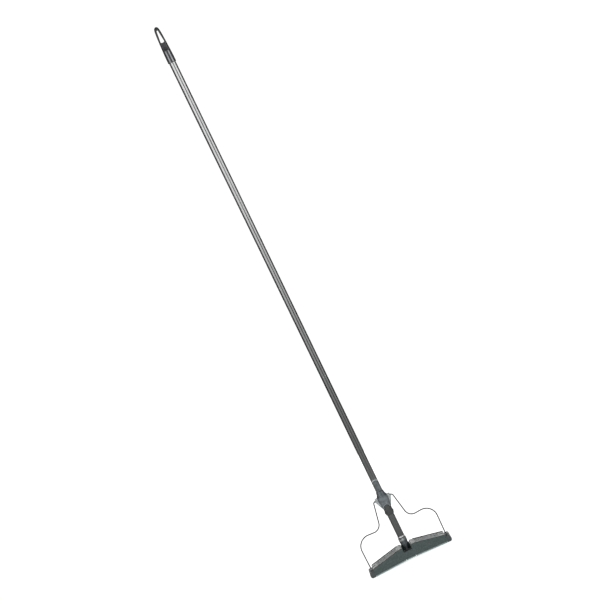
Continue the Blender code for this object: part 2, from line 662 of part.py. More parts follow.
def build_hub(plastic, steel, strip, head):
    """Hub between the wings: a floor, two cheeks with hinge barrels, and a clevis."""
    half = HUB_HALF_WIDTH
    inside = half - HUB_CHEEK
    hidden = 0.1 * MM
    above = HINGE_Z + 20 * MM
    wall_y = HUB_HALF_DEPTH - SHELL_WALL
    cheek_top = HINGE_Z - BARREL_RADIUS - 0.7 * MM
    lug_top = HINGE_Z + 2 * MM
    block = box(-half, half, -HUB_HALF_DEPTH, HUB_HALF_DEPTH, HUB_FLOOR, cheek_top)
    room = box(-inside, inside, -wall_y, wall_y, HUB_FLOOR_TOP, above)
    front_top = HUB_BOTTOM + HUB_FRONT_HEIGHT - HUB_LIP
    notch = box(-inside, inside, -HEAD_DEPTH, 1 * MM - wall_y, front_top, above)
    block = cut(block, room, notch)
    stop_bottom = cheek_top - 3 * MM
    stop_back = HUB_HALF_DEPTH - hidden
    parts = [box(-inside, inside, wall_y + hidden, stop_back, stop_bottom, lug_top)]
    clevis_half = TONGUE_HALF_WIDTH + 2 * CLEARANCE
    clevis_depth = TONGUE_RADIUS + 1.5 * MM
    clevis_top = FOOT_Z + TONGUE_RADIUS
    clevis_low = HUB_FLOOR_TOP - 1 * MM
    for _, side in SIDES:
        low, high = sorted((side * (inside + hidden), side * (half - hidden)))
        near, far = sorted((side * clevis_half, side * (inside + HUB_CHEEK / 2)))
        parts.append(box(near, far, -clevis_depth, clevis_depth, clevis_low, clevis_top))
        for start in (HUB_BARREL_START, -HUB_BARREL_END):
            length = HUB_BARREL_END - HUB_BARREL_START
            end = start + length - hidden
            parts.append(box(low, high, start + hidden, end, stop_bottom, lug_top))
            parts.append(rod((side * HINGE_X, start, HINGE_Z), Y_AXIS, length, BARREL_RADIUS))
    block = join(block, *parts)
    tilt_hole = rod((-2 * half, 0, FOOT_Z), X_AXIS, 4 * half, TILT_PIN_RADIUS + CLEARANCE)
    hole_radius = HINGE_PIN_RADIUS + CLEARANCE
    hinge_holes = [
        rod((side * HINGE_X, -HEAD_DEPTH, HINGE_Z), Y_AXIS, 2 * HEAD_DEPTH, hole_radius)
        for _, side in SIDES
    ]
    place("hub_block", cut(block, tilt_hole, *hinge_holes), plastic, head)
    pin_half = half - 0.2 * MM
    tilt_pin = rod((-pin_half, 0, FOOT_Z), X_AXIS, 2 * pin_half, TILT_PIN_RADIUS)
    place("tilt_pin", tilt_pin, steel, head)
    depth = HUB_HALF_DEPTH - STRIP_MARGIN
    top = HUB_BOTTOM + STRIP_THICKNESS
    hub_strip = box(STRIP_MARGIN - half, half - STRIP_MARGIN, -depth, depth, HUB_BOTTOM, top)
    place("hub_strip", hub_strip, strip, head)
    for word, side in SIDES:
        length = 2 * (HUB_HALF_DEPTH - STRIP_MARGIN)
        start = (HINGE_X, -length / 2, HINGE_Z)
        hinge_pin = rod(start, Y_AXIS, length, HINGE_PIN_RADIUS, 16)
        place(f"hinge_pin_{word}", hinge_pin, steel, head, side)


def apron_outline():
    """Outline of the wall that closes the head's face between a wing and its middle."""
    low = above_strip(SHELL_BOTTOM)
    notch = HUB_BOTTOM + HUB_FRONT_HEIGHT - HINGE_Z
    shaft_side = HUB_HALF_WIDTH - HUB_CHEEK + 0.8 * MM - HINGE_X
    root = WING_INNER + 1 * MM

    def middle(z):
        """Place along the wing of the head's middle plane, which the droop tilts."""
        return (APRON_GAP - HINGE_X - z * math.sin(WING_DROOP)) / math.cos(WING_DROOP)

    return [
        (middle(low), low),
        (root, low),
        (root, roof(root) - 0.1 * MM),
        (WING_INNER - 0.7 * MM, roof(0) - 0.5 * MM),
        (shaft_side, -1.2 * MM),
        (shaft_side, notch),
        (middle(notch), notch),
    ]


def wing_shell():
    """Roof-shaped shell, open below, with hinge barrels, screw bosses and the foot channel."""
    bottom = above_strip(SHELL_BOTTOM)
    outline = [
        (WING_INNER, bottom),
        (SHELL_OUTER, bottom),
        (SHELL_OUTER, roof(SHELL_OUTER)),
        (WING_INNER, roof(WING_INNER)),
    ]
    inner, outer = WING_INNER + SHELL_WALL, SHELL_OUTER - SHELL_WALL
    below = bottom - 5 * MM
    hollow = [
        (inner, below),
        (outer, below),
        (outer, roof(outer) - SHELL_WALL),
        (inner, roof(inner) - SHELL_WALL),
    ]
    wall_y = HALF_DEPTH - SHELL_WALL
    shell = cut(prism(outline, -HALF_DEPTH, HALF_DEPTH), prism(hollow, -wall_y, wall_y))
    aprons = [prism(apron_outline(), y, y + SHELL_WALL) for y in (-HALF_DEPTH, wall_y)]
    shell = join(shell, *aprons)
    barrel_end = HALF_DEPTH - SHELL_WALL / 2
    barrel_ends = (
        (HUB_BARREL_END + 2 * CLEARANCE, barrel_end),
        (2 * CLEARANCE - HUB_BARREL_START, HUB_BARREL_START - 2 * CLEARANCE),
        (-barrel_end, -HUB_BARREL_END - 2 * CLEARANCE),
    )
    barrels = [rod((0, low, 0), Y_AXIS, high - low, BARREL_RADIUS) for low, high in barrel_ends]
    bosses = []
    boss_bottom = above_strip(SHELL_BOTTOM + PLATE_THICKNESS) + CLEARANCE
    for along in BOSS_PLACES:
        height = roof(along) - SHELL_WALL / 2 - boss_bottom
        bosses.append(rod((along, 0, boss_bottom), Z_AXIS, height, BOSS_RADIUS))
    rooms = []
    for start in (HUB_BARREL_START, -HUB_BARREL_END):
        length = HUB_BARREL_END - HUB_BARREL_START + 2 * CLEARANCE
        rooms.append(rod((0, start - CLEARANCE, 0), Y_AXIS, length, SWING_RADIUS, 24))
    pin_room = HUB_HALF_DEPTH - STRIP_MARGIN + CLEARANCE
    pin_hole = rod((0, -pin_room, 0), Y_AXIS, 2 * pin_room, HINGE_PIN_RADIUS + CLEARANCE)
    screw_holes = [
        rod((along, 0, boss_bottom - 5 * MM), Z_AXIS, 17 * MM, SCREW_RADIUS + CLEARANCE, 12)
        for along in BOSS_PLACES
    ]
    half = FOOT_CHANNEL / 2
    floor = above_strip(FOOT_HEIGHT - BALL_RADIUS - 1.4 * MM)
    channel = box(FOOT_ALONG - FOOT_SLIP - half, SHELL_OUTER + half, -half, half, floor, 10 * MM)
    return cut(join(shell, *barrels, *bosses), *rooms, pin_hole, *screw_holes, channel)


def wing_end_cap():
    """Block that closes a wing's end, with a channel for the wire's foot and two tabs."""
    start = SHELL_OUTER + CLEARANCE
    end = SHELL_OUTER + END_CAP_LENGTH
    low, high = above_strip(END_CAP_BOTTOM), above_strip(END_CAP_TOP)
    outline = [
        (start, low),
        (end - 4 * MM, low),
        (end - 0.6 * MM, low + 3 * MM),
        (end, low + 7 * MM),
        (end - 0.7 * MM, high - 3.5 * MM),
        (end - 2.6 * MM, high),
        (start, high),
    ]
    cap = prism(outline, -HALF_DEPTH, HALF_DEPTH)
    tab_low = above_strip(SHELL_BOTTOM + PLATE_THICKNESS) + CLEARANCE
    inner = SHELL_OUTER - TAB_START
    tab_wall = HALF_DEPTH - SHELL_WALL - CLEARANCE
    tabs = []
    holes = []
    for y in (-TAB_SCREW_Y, TAB_SCREW_Y):
        reach = tab_wall - TAB_SCREW_Y
        tabs.append(box(inner, start + 2 * MM, y - reach, y + reach, tab_low, tab_low + TAB_HEIGHT))
        holes.append(tab_screw_hole(y, tab_low))
    half = FOOT_CHANNEL / 2
    floor = above_strip(FOOT_HEIGHT - BALL_RADIUS - 1.4 * MM)
    channel = box(start - 5 * MM, FOOT_ALONG, -half, half, floor, high + 5 * MM)
    cup = rod((FOOT_ALONG, 0, floor), Z_AXIS, 10 * MM, half)
    pegs = [
        rod((keeper_peg_x(), y, high - 4.5 * MM), Z_AXIS, 10 * MM, 1.2 * MM + CLEARANCE, 16)
        for y in (-3.7 * MM, 3.7 * MM)
    ]
    return cut(join(cap, *tabs), *holes, join(channel, cup), *pegs)


def keeper_peg_x():
    """Place along a wing of the foot keeper's pegs."""
    return FOOT_ALONG + BALL_RADIUS + 1.8 * MM


def tab_screw_hole(y, tab_low):
    """Blind hole for a screw that rises into an end cap's tab."""
    start = (SHELL_OUTER - TAB_START + 4 * MM, y, tab_low - 5 * MM)
    return rod(start, Z_AXIS, 5 * MM + TAB_HEIGHT - 1 * MM, SCREW_RADIUS + CLEARANCE, 12)


def tab_slots():
    """Openings in a shell's end wall that the end cap's tabs pass through."""
    low = above_strip(SHELL_BOTTOM) - 5 * MM
    high = above_strip(SHELL_BOTTOM + PLATE_THICKNESS) + TAB_HEIGHT + 2 * CLEARANCE
    wall_start = SHELL_OUTER - SHELL_WALL - 5 * MM
    slots = []
    for y in (-TAB_SCREW_Y, TAB_SCREW_Y):
        reach = HALF_DEPTH - SHELL_WALL - TAB_SCREW_Y
        slots.append(box(wall_start, SHELL_OUTER + 5 * MM, y - reach, y + reach, low, high))
    return slots


def foot_keeper():
    """Forked keeper outboard of the wire's foot, pegged into the end cap."""
    inside = FOOT_ALONG + BALL_RADIUS + 2 * CLEARANCE
    base_low = above_strip(END_CAP_TOP) + CLEARANCE
    base = box(inside, inside + 2.4 * MM, -5 * MM, 5 * MM, base_low, base_low + 1 * MM)
    pegs = [
        rod((keeper_peg_x(), y, base_low - 4 * MM), Z_AXIS, 4.5 * MM, 1.2 * MM, 12)
        for y in (-3.7 * MM, 3.7 * MM)
    ]
    prongs = []
    near, far = inside + 0.1 * MM, inside + 2.1 * MM
    for low_y, high_y in ((-4.8 * MM, -2.6 * MM), (2.6 * MM, 4.8 * MM)):
        prongs.append(box(near, far, low_y, high_y, base_low + 0.5 * MM, base_low + 6 * MM))
    return join(base, *pegs, *prongs)


def screw(along, y, length):
    """Self-tapping screw driven up through the base plate."""
    low = above_strip(SHELL_BOTTOM) + 0.1 * MM
    head = rod((along, y, low), Z_AXIS, SCREW_HEAD_HEIGHT, SCREW_HEAD_RADIUS, 16)
    reach, half = 2 * MM, 0.3 * MM
    slot = box(along - reach, along + reach, y - half, y + half, low - reach, low + 0.5 * MM)
    shank = rod((along, y, low + SCREW_HEAD_HEIGHT / 2), Z_AXIS, length, SCREW_RADIUS, 12)
    return cut(join(head, shank), slot)


def wing_base_plate():
    """Plate that closes a wing below, with a counterbored hole for each screw."""
    low = above_strip(SHELL_BOTTOM)
    inner = WING_INNER + SHELL_WALL + CLEARANCE
    outer = SHELL_OUTER - SHELL_WALL - CLEARANCE
    depth = HALF_DEPTH - SHELL_WALL - CLEARANCE
    plate = box(inner, outer, -depth, depth, low, low + PLATE_THICKNESS)
    holes = []
    for along, y in screw_places():
        start = low - 5 * MM
        holes.append(rod((along, y, start), Z_AXIS, 15 * MM, SCREW_RADIUS + CLEARANCE, 12))
        counterbore = 5 * MM + SCREW_HEAD_HEIGHT + 2 * CLEARANCE
        holes.append(rod((along, y, start), Z_AXIS, counterbore, SCREW_HEAD_RADIUS + CLEARANCE, 16))
    return cut(plate, *holes)


def screw_places():
    """Along-wing and Y places of a wing's four screws."""
    tab_x = SHELL_OUTER - TAB_START + 4 * MM
    return [(along, 0) for along in BOSS_PLACES] + [(tab_x, -TAB_SCREW_Y), (tab_x, TAB_SCREW_Y)]


def build_wing(word, side, plastic, dark, steel, light, strip, hinge):
    """All the pieces of one wing, in the wing's own frame."""
    shell = cut(wing_shell(), *tab_slots())
    strip_top = above_strip(STRIP_THICKNESS)
    depth = HALF_DEPTH - STRIP_MARGIN
    pad = box(WING_INNER + STRIP_MARGIN, SHELL_OUTER, -depth, depth, above_strip(0), strip_top)
    pieces = [
        ("wing_shell", shell, plastic),
        ("base_plate", wing_base_plate(), plastic),
        ("wing_strip", pad, strip),
        ("end_cap", wing_end_cap(), dark),
        ("foot_keeper", foot_keeper(), light),
    ]
    names = ("inner_screw", "outer_screw", "front_end_screw", "back_end_screw")
    lengths = (12 * MM, 12 * MM, 6 * MM, 6 * MM)
    for name, (along, y), length in zip(names, screw_places(), lengths):
        pieces.append((name, screw(along, y, length), steel))
    for name, shape, material in pieces:
        place(f"{name}_{word}", shape, material, hinge, side, in_pivot_space=True)


def main():
    clear_scene()
    metal = make_material("anodised_tube", (0.22, 0.22, 0.22), 0.35, 0.9)
    dark = make_material("dark_plastic", (0.05, 0.055, 0.053), 0.5)
    grey = make_material("blue_grey_plastic", (0.14, 0.17, 0.19), 0.4)
    green = make_material("green_grey_plastic", (0.055, 0.085, 0.082), 0.5)
    teal = make_material("teal_hook_strip", (0.13, 0.20, 0.19), 0.9)
    steel = make_material("steel", (0.35, 0.35, 0.34), 0.3, 1.0)
    light = make_material("light_grey_plastic", (0.33, 0.37, 0.38), 0.4)
    build_hang_cap(dark)
    build_handle(metal, grey)
    build_latch(dark, steel, dark)
    build_knuckle(grey, light)
    slider = make_pivot("yoke_slide", (0, 0, PIVOT_Z))
    build_yoke(grey, steel, slider)
    head = make_pivot("head_tilt", (0, 0, FOOT_Z))
    build_hub(green, steel, teal, head)
    for word, side in SIDES:
        build_brace(word, side, light, steel, light)
        hinge = make_pivot(f"wing_hinge_{word}", (side * HINGE_X, 0, HINGE_Z), side * WING_DROOP)
        build_wing(word, side, green, dark, steel, light, teal, hinge)


main()
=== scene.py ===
"""Looks of a flat mop with a squeeze-to-fold head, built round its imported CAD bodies.

World frame, in metres: X runs along the head, -Y is the front and +Z is up the handle.
Every piece's object sits at the origin and rides on one CAD body.
"""

from __future__ import annotations

import logging
import math
from collections.abc import Iterable, Sequence
from dataclasses import dataclass, field
from enum import Enum

import bmesh
import bpy
from mathutils import Matrix, Vector


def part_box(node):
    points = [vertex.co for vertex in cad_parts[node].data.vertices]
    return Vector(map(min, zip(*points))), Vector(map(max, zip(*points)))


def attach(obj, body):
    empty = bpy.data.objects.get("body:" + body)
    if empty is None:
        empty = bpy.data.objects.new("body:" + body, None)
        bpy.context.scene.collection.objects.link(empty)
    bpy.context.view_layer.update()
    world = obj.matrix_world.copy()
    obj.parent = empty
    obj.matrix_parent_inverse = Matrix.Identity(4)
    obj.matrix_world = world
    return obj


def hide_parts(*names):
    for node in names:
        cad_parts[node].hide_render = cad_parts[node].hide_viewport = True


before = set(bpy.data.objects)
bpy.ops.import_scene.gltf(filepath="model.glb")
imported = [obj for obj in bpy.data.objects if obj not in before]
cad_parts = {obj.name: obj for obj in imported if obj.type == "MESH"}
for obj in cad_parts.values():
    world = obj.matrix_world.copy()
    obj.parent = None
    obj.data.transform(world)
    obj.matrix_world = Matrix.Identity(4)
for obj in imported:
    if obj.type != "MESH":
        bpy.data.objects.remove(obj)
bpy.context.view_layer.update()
LOG = logging.getLogger("flat_mop")

MM = 0.001
# The colour of the painted shade laid on each part's outline, where its skin turns away from view.
PAINTED_SHADE_COLOUR = (0.004, 0.0045, 0.0045)
COLOUR = tuple[float, float, float]
POINT = tuple[float, float, float]
X_AXIS = Vector((1, 0, 0))
Y_AXIS = Vector((0, 1, 0))
Z_AXIS = Vector((0, 0, 1))


class Side(Enum):
    """The two ends of the head."""

    LEFT = -1
    RIGHT = 1

    @property
    def word(self) -> str:
        """The side's name as the CAD nodes spell it."""
        return self.name.lower()

    def mirrored(self) -> Matrix:
        """The matrix that puts a piece drawn on the right onto this side."""
        return Matrix.Diagonal((self.value, 1, 1, 1))


class Slot(Enum):
    """Material slots of the record, one passed with each piece."""

    UPPER_TUBE = "upper_tube"
    LOWER_TUBE = "lower_tube"
    STEEL = "steel"
    BRACE_WIRE = "brace_wire"
    HANG_CAP = "hang_cap"
    DARK_PLASTIC = "dark_plastic"
    BLUE_GREY = "blue_grey_plastic"
    LIGHT_PLASTIC = "light_plastic"
    HEAD_PLASTIC = "head_plastic"
    HOOK_STRIP = "hook_strip"


# ---------------------------------------------------------------- node trees


class NodeSketch:
    """Adds nodes to one tree and joins them by socket."""

    def __init__(self, tree: bpy.types.NodeTree) -> None:
        """Keeps the tree that the nodes go into."""
        self.tree = tree

    def add(self, kind: str, inputs: dict | None = None, **settings: object) -> bpy.types.Node:
        """Adds a node.

        Args:
            kind: Blender's name for the node's type.
            inputs: Socket name or number to a value, or to the output that feeds it.
            settings: The node's own properties.

        Returns:
            The new node.
        """
        node = self.tree.nodes.new(kind)
        for key, value in settings.items():
            setattr(node, key, value)
        for key, value in (inputs or {}).items():
            self.feed(node.inputs[key], value)
        return node

    def feed(self, socket: bpy.types.NodeSocket, value: object) -> None:
        """Links an output to the socket, or sets the socket's own value.

        Args:
            socket: The input socket.
            value: The output that feeds it, or a plain value.
        """
        if isinstance(value, bpy.types.NodeSocket):
            self.tree.links.new(value, socket)
        else:
            socket.default_value = value

    def math(self, operation: str, first: object, second: object = 0.0) -> bpy.types.NodeSocket:
        """The result of one sum on two numbers."""
        node = self.add("ShaderNodeMath", {0: first, 1: second}, operation=operation)
        return node.outputs[0]

    def spread(
        self, value: bpy.types.NodeSocket, from_range: Sequence[float], to_range: Sequence[float]
    ) -> bpy.types.NodeSocket:
        """A number moved smoothly from one range to another, and kept inside it.

        Args:
            value: The number.
            from_range: Its low and high value.
            to_range: What those two become.

        Returns:
            The output that holds the new number.
        """
        inputs = {
            "Value": value,
            "From Min": from_range[0],
            "From Max": from_range[1],
            "To Min": to_range[0],
            "To Max": to_range[1],
        }
        node = self.add("ShaderNodeMapRange", inputs, interpolation_type="SMOOTHSTEP")
        return node.outputs["Result"]

    def tint(self, factor: object, first: object, second: object) -> bpy.types.NodeSocket:
        """A colour between two colours.

        Args:
            factor: 0 for the first colour and 1 for the second.
            first: A colour or the output that gives it.
            second: A colour or the output that gives it.

        Returns:
            The output that holds the mixed colour.
        """
        node = self.add("ShaderNodeMix", data_type="RGBA")
        sockets = {socket.identifier: socket for socket in node.inputs}
        for name, value in (("Factor_Float", factor), ("A_Color", first), ("B_Color", second)):
            if isinstance(value, tuple):
                value = (*value, 1)
            self.feed(sockets[name], value)
        return next(s for s in node.outputs if s.identifier == "Result_Color")

    def noise(
        self, place: bpy.types.NodeSocket, scale: float, detail: float = 2.0
    ) -> bpy.types.NodeSocket:
        """A soft noise between about 0.3 and 0.7.

        Args:
            place: The point that the noise is read at.
            scale: Lumps to the metre.
            detail: Finer layers on top of the first.

        Returns:
            The output that holds the noise.
        """
        inputs = {"Vector": place, "Scale": scale, "Detail": detail}
        return self.add("ShaderNodeTexNoise", inputs).outputs[0]

    def stretched(self, place: bpy.types.NodeSocket, scale: POINT) -> bpy.types.NodeSocket:
        """The point with each of its axes scaled, which draws a pattern out along one."""
        node = self.add("ShaderNodeMapping", {"Vector": place, "Scale": scale})
        return node.outputs[0]


# ------------------------------------------------------------------ finishes


@dataclass(frozen=True)
class Finish:
    """What every finish has: a name, an edge that is rounded, and a share of painted shade that
    darkens its outline.
    """

    name: str
    edge_radius: float = 0.35 * MM
    # rim: the share of painted shade at the outline, where the skin turns away from view.
    rim: float = 0.0

    def material(self) -> bpy.types.Material:
        """The finish as a material, made once and used by every piece that asks for it.

        Returns:
            The material.
        """
        full_name = "finish_" + self.name
        found = bpy.data.materials.get(full_name)
        if found is not None:
            return found
        material = bpy.data.materials.new(full_name)
        material.use_nodes = True
        sketch = NodeSketch(material.node_tree)
        self.dress(sketch, material.node_tree.nodes["Principled BSDF"])
        return material

    def dress(self, sketch: NodeSketch, shader: bpy.types.Node) -> None:
        """Adds this finish's nodes in front of the shader."""
        raise NotImplementedError

    def painted_outline_shade(self, sketch: NodeSketch) -> bpy.types.NodeSocket:
        """How much painted shade darkens the skin where it turns away from view, from 0 to the rim's
        share.
        """
        facing = sketch.add("ShaderNodeLayerWeight", {"Blend": 0.5}).outputs["Facing"]
        return sketch.spread(facing, (0.1, 0.5), (0.0, self.rim))

    def edges(self, sketch: NodeSketch) -> tuple[bpy.types.NodeSocket, bpy.types.NodeSocket]:
        """Finds the piece's edges.

        Args:
            sketch: The material's tree.

        Returns:
            The normal with its edges rounded, and a number that is 1 on an edge.
        """
        rounded = sketch.add("ShaderNodeBevel", {"Radius": self.edge_radius}, samples=4)
        flat = sketch.add("ShaderNodeNewGeometry").outputs["Normal"]
        inputs = {0: rounded.outputs[0], 1: flat}
        agreement = sketch.add("ShaderNodeVectorMath", inputs, operation="DOT_PRODUCT")
        worn = sketch.spread(agreement.outputs["Value"], (0.9, 1.0), (1.0, 0.0))
        return rounded.outputs[0], worn


@dataclass(frozen=True)
class MouldedFinish(Finish):
    """Injection-moulded plastic: cloudy colour, spark-eroded grain, rubbed edges and painted shade at
    its outline.
    """

    base: COLOUR = (0.05, 0.05, 0.05)
    shade: COLOUR = (0.04, 0.04, 0.04)
    edge: COLOUR = (0.12, 0.12, 0.12)
    edge_share: float = 0.55
    cloud_scale: float = 120.0
    grain_scale: float = 2600.0
    grain_depth: float = 0.25
    roughness: tuple[float, float] = (0.38, 0.55)
    specular: float = 0.5
    coat: float = 0.0

    def dress(self, sketch: NodeSketch, shader: bpy.types.Node) -> None:
        """Adds the cloud, grain and edge nodes in front of the shader.

        Args:
            sketch: The material's tree.
            shader: The shader that the nodes feed.
        """
        place = sketch.add("ShaderNodeTexCoord").outputs["Object"]
        normal, worn = self.edges(sketch)
        clouds = sketch.spread(sketch.noise(place, self.cloud_scale, 4), (0.36, 0.64), (0, 1))
        grain = sketch.noise(place, self.grain_scale, 1)
        rubbed = sketch.spread(sketch.noise(place, 420, 3), (0.38, 0.6), (0.25, 1))
        body = sketch.tint(clouds, self.base, self.shade)
        # Painted shade: the colour darkens towards the outline, where the skin turns away from view.
        body = sketch.tint(self.painted_outline_shade(sketch), body, PAINTED_SHADE_COLOUR)
        share = sketch.math("MULTIPLY", sketch.math("MULTIPLY", worn, rubbed), self.edge_share)
        sketch.feed(shader.inputs["Base Color"], sketch.tint(share, body, self.edge))
        fine = sketch.noise(place, self.cloud_scale * 3, 3)
        gloss = sketch.spread(fine, (0.35, 0.65), self.roughness)
        sketch.feed(shader.inputs["Roughness"], gloss)
        shader.inputs["Specular IOR Level"].default_value = self.specular
        shader.inputs["Coat Weight"].default_value = self.coat
        shader.inputs["Coat Roughness"].default_value = 0.2
        inputs = {
            "Strength": self.grain_depth,
            "Distance": 0.15 * MM,
            "Height": grain,
            "Normal": normal,
        }
        bump = sketch.add("ShaderNodeBump", inputs)
        sketch.feed(shader.inputs["Normal"], bump.outputs[0])


@dataclass(frozen=True)
class DrawnTubeFinish(Finish):
    """Drawn metal tube: fine lengthwise lines, a painted fade of its reflections up the tube, painted
    shade at its outline, and scuffs.
    """

    # low and high: the dark and bright ends of the painted fade, which stands in for the tube's
    # reflections growing brighter up the handle.
    low: COLOUR = (0.1, 0.1, 0.1)
    high: COLOUR = (0.6, 0.6, 0.6)
    painted_reflection_fade: tuple[float, float] = (0.2, 1.3)
    metallic: float = 1.0
    roughness: tuple[float, float] = (0.2, 0.32)
    line_depth: float = 0.1
    scuff: COLOUR = (0.75, 0.75, 0.74)

    def dress(self, sketch: NodeSketch, shader: bpy.types.Node) -> None:
        """Adds the line, tone and scuff nodes in front of the shader.

        Args:
            sketch: The material's tree.
            shader: The shader that the nodes feed.
        """
        place = sketch.add("ShaderNodeTexCoord").outputs["Object"]
        normal, worn = self.edges(sketch)
        height = sketch.add("ShaderNodeSeparateXYZ", {0: place}).outputs["Z"]
        # Painted reflection: the tone goes from dark low down to bright higher up the tube.
        tone = sketch.tint(sketch.spread(height, self.painted_reflection_fade, (0, 1)), self.low, self.high)
        drawn = sketch.stretched(place, (1, 1, 0.006))
        lines = sketch.noise(drawn, 2400, 3)
        streaks = sketch.noise(sketch.stretched(place, (1, 1, 0.03)), 420, 3)
        dulled = sketch.tint(sketch.spread(lines, (0.35, 0.65), (0, 0.22)), tone, self.low)
        scratch = sketch.noise(sketch.stretched(place, (1, 1, 0.16)), 900, 1)
        patch = sketch.noise(place, 22, 2)
        marks = sketch.math(
            "MULTIPLY",
            sketch.spread(scratch, (0.68, 0.74), (0, 1)),
            sketch.spread(patch, (0.5, 0.62), (0, 0.6)),
        )
        marked = sketch.math("MAXIMUM", marks, sketch.math("MULTIPLY", worn, 0.7))
        # Painted shade: the tube's colour darkens towards its outline, where the skin turns away from
        # view.
        rimmed = sketch.tint(self.painted_outline_shade(sketch), dulled, PAINTED_SHADE_COLOUR)
        sketch.feed(shader.inputs["Base Color"], sketch.tint(marked, rimmed, self.scuff))
        sketch.feed(shader.inputs["Roughness"], sketch.spread(streaks, (0.35, 0.65), self.roughness))
        shader.inputs["Metallic"].default_value = self.metallic
        inputs = {
            "Strength": self.line_depth,
            "Distance": 0.05 * MM,
            "Height": lines,
            "Normal": normal,
        }
        bump = sketch.add("ShaderNodeBump", inputs)
        sketch.feed(shader.inputs["Normal"], bump.outputs[0])


@dataclass(frozen=True)
class PlatedSteelFinish(Finish):
    """Plated steel: a soft metal sheen with fine speckle, darker pits and bright edges."""

    base: COLOUR = (0.45, 0.45, 0.44)
    pits: COLOUR = (0.2, 0.2, 0.2)
    edge: COLOUR = (0.7, 0.7, 0.68)
    roughness: tuple[float, float] = (0.25, 0.42)
    metallic: float = 1.0
    speckle_scale: float = 1500.0

    def dress(self, sketch: NodeSketch, shader: bpy.types.Node) -> None:
        """Adds the speckle, pit and edge nodes in front of the shader.

        Args:
            sketch: The material's tree.
            shader: The shader that the nodes feed.
        """
        place = sketch.add("ShaderNodeTexCoord").outputs["Object"]
        normal, worn = self.edges(sketch)
        speckle = sketch.noise(place, self.speckle_scale, 3)
        patch = sketch.noise(place, 180, 3)
        tone = sketch.tint(sketch.spread(patch, (0.4, 0.66), (0, 0.6)), self.base, self.pits)
        bright = sketch.math("MULTIPLY", worn, 0.6)
        sketch.feed(shader.inputs["Base Color"], sketch.tint(bright, tone, self.edge))
        sketch.feed(shader.inputs["Roughness"], sketch.spread(speckle, (0.35, 0.65), self.roughness))
        shader.inputs["Metallic"].default_value = self.metallic
        inputs = {"Strength": 0.12, "Distance": 0.05 * MM, "Height": speckle, "Normal": normal}
        bump = sketch.add("ShaderNodeBump", inputs)
        sketch.feed(shader.inputs["Normal"], bump.outputs[0])


@dataclass(frozen=True)
class HookTapeFinish(Finish):
    """Nylon hook tape on foam: short fibres, a soft sheen and painted shade in the hollows between
    the fibres.
    """

    base: COLOUR = (0.13, 0.17, 0.165)
    # hollow: the colour of the painted shade between the fibres.
    hollow: COLOUR = (0.06, 0.085, 0.08)
    fibre_scale: float = 900.0

    def dress(self, sketch: NodeSketch, shader: bpy.types.Node) -> None:
        """Adds the fibre nodes in front of the shader.

        Args:
            sketch: The material's tree.
            shader: The shader that the nodes feed.
        """
        place = sketch.add("ShaderNodeTexCoord").outputs["Object"]
        fibres = sketch.noise(sketch.stretched(place, (1, 0.35, 1)), self.fibre_scale, 3)
        cells = sketch.add(
            "ShaderNodeTexVoronoi", {"Vector": place, "Scale": 700.0}, feature="F1"
        ).outputs["Distance"]
        # Painted shade: the fibre pattern darkens the colour towards the hollow colour.
        tone = sketch.tint(sketch.spread(fibres, (0.35, 0.65), (0, 0.8)), self.base, self.hollow)
        sketch.feed(shader.inputs["Base Color"], tone)
        sketch.feed(shader.inputs["Roughness"], sketch.spread(fibres, (0.3, 0.7), (0.62, 0.85)))
        shader.inputs["Sheen Weight"].default_value = 0.35
        shader.inputs["Sheen Roughness"].default_value = 0.4
        height = sketch.math("ADD", fibres, cells)
        bump = sketch.add("ShaderNodeBump", {"Strength": 0.5, "Distance": 0.3 * MM, "Height": height})
        sketch.feed(shader.inputs["Normal"], bump.outputs[0])


@dataclass(frozen=True)
class FloorFinish(Finish):
    """Pale matt studio floor with a faint mottle."""

    base: COLOUR = (0.92, 0.92, 0.92)
    shade: COLOUR = (0.9, 0.9, 0.9)
    glow: float = 0.72

    def dress(self, sketch: NodeSketch, shader: bpy.types.Node) -> None:
        """Adds the mottle in front of the shader.

        Args:
            sketch: The material's tree.
            shader: The shader that the nodes feed.
        """
        place = sketch.add("ShaderNodeTexCoord").outputs["Object"]
        mottle = sketch.spread(sketch.noise(place, 3, 2), (0.3, 0.7), (0, 1))
        sketch.feed(shader.inputs["Base Color"], sketch.tint(mottle, self.base, self.shade))
        shader.inputs["Roughness"].default_value = 0.9
        shader.inputs["Specular IOR Level"].default_value = 0.0
        shader.inputs["Emission Color"].default_value = (1, 1, 1, 1)
        shader.inputs["Emission Strength"].default_value = self.glow


# Painted reflection: bright at the top and darker down the handle.
UPPER_TUBE_FINISH = DrawnTubeFinish(
    "drawn_upper_tube",
    low=(0.088, 0.09, 0.09),
    high=(0.59, 0.595, 0.595),
    painted_reflection_fade=(0.3, 1.45),
    # Painted shade at the outline.
    rim=0.25,
)
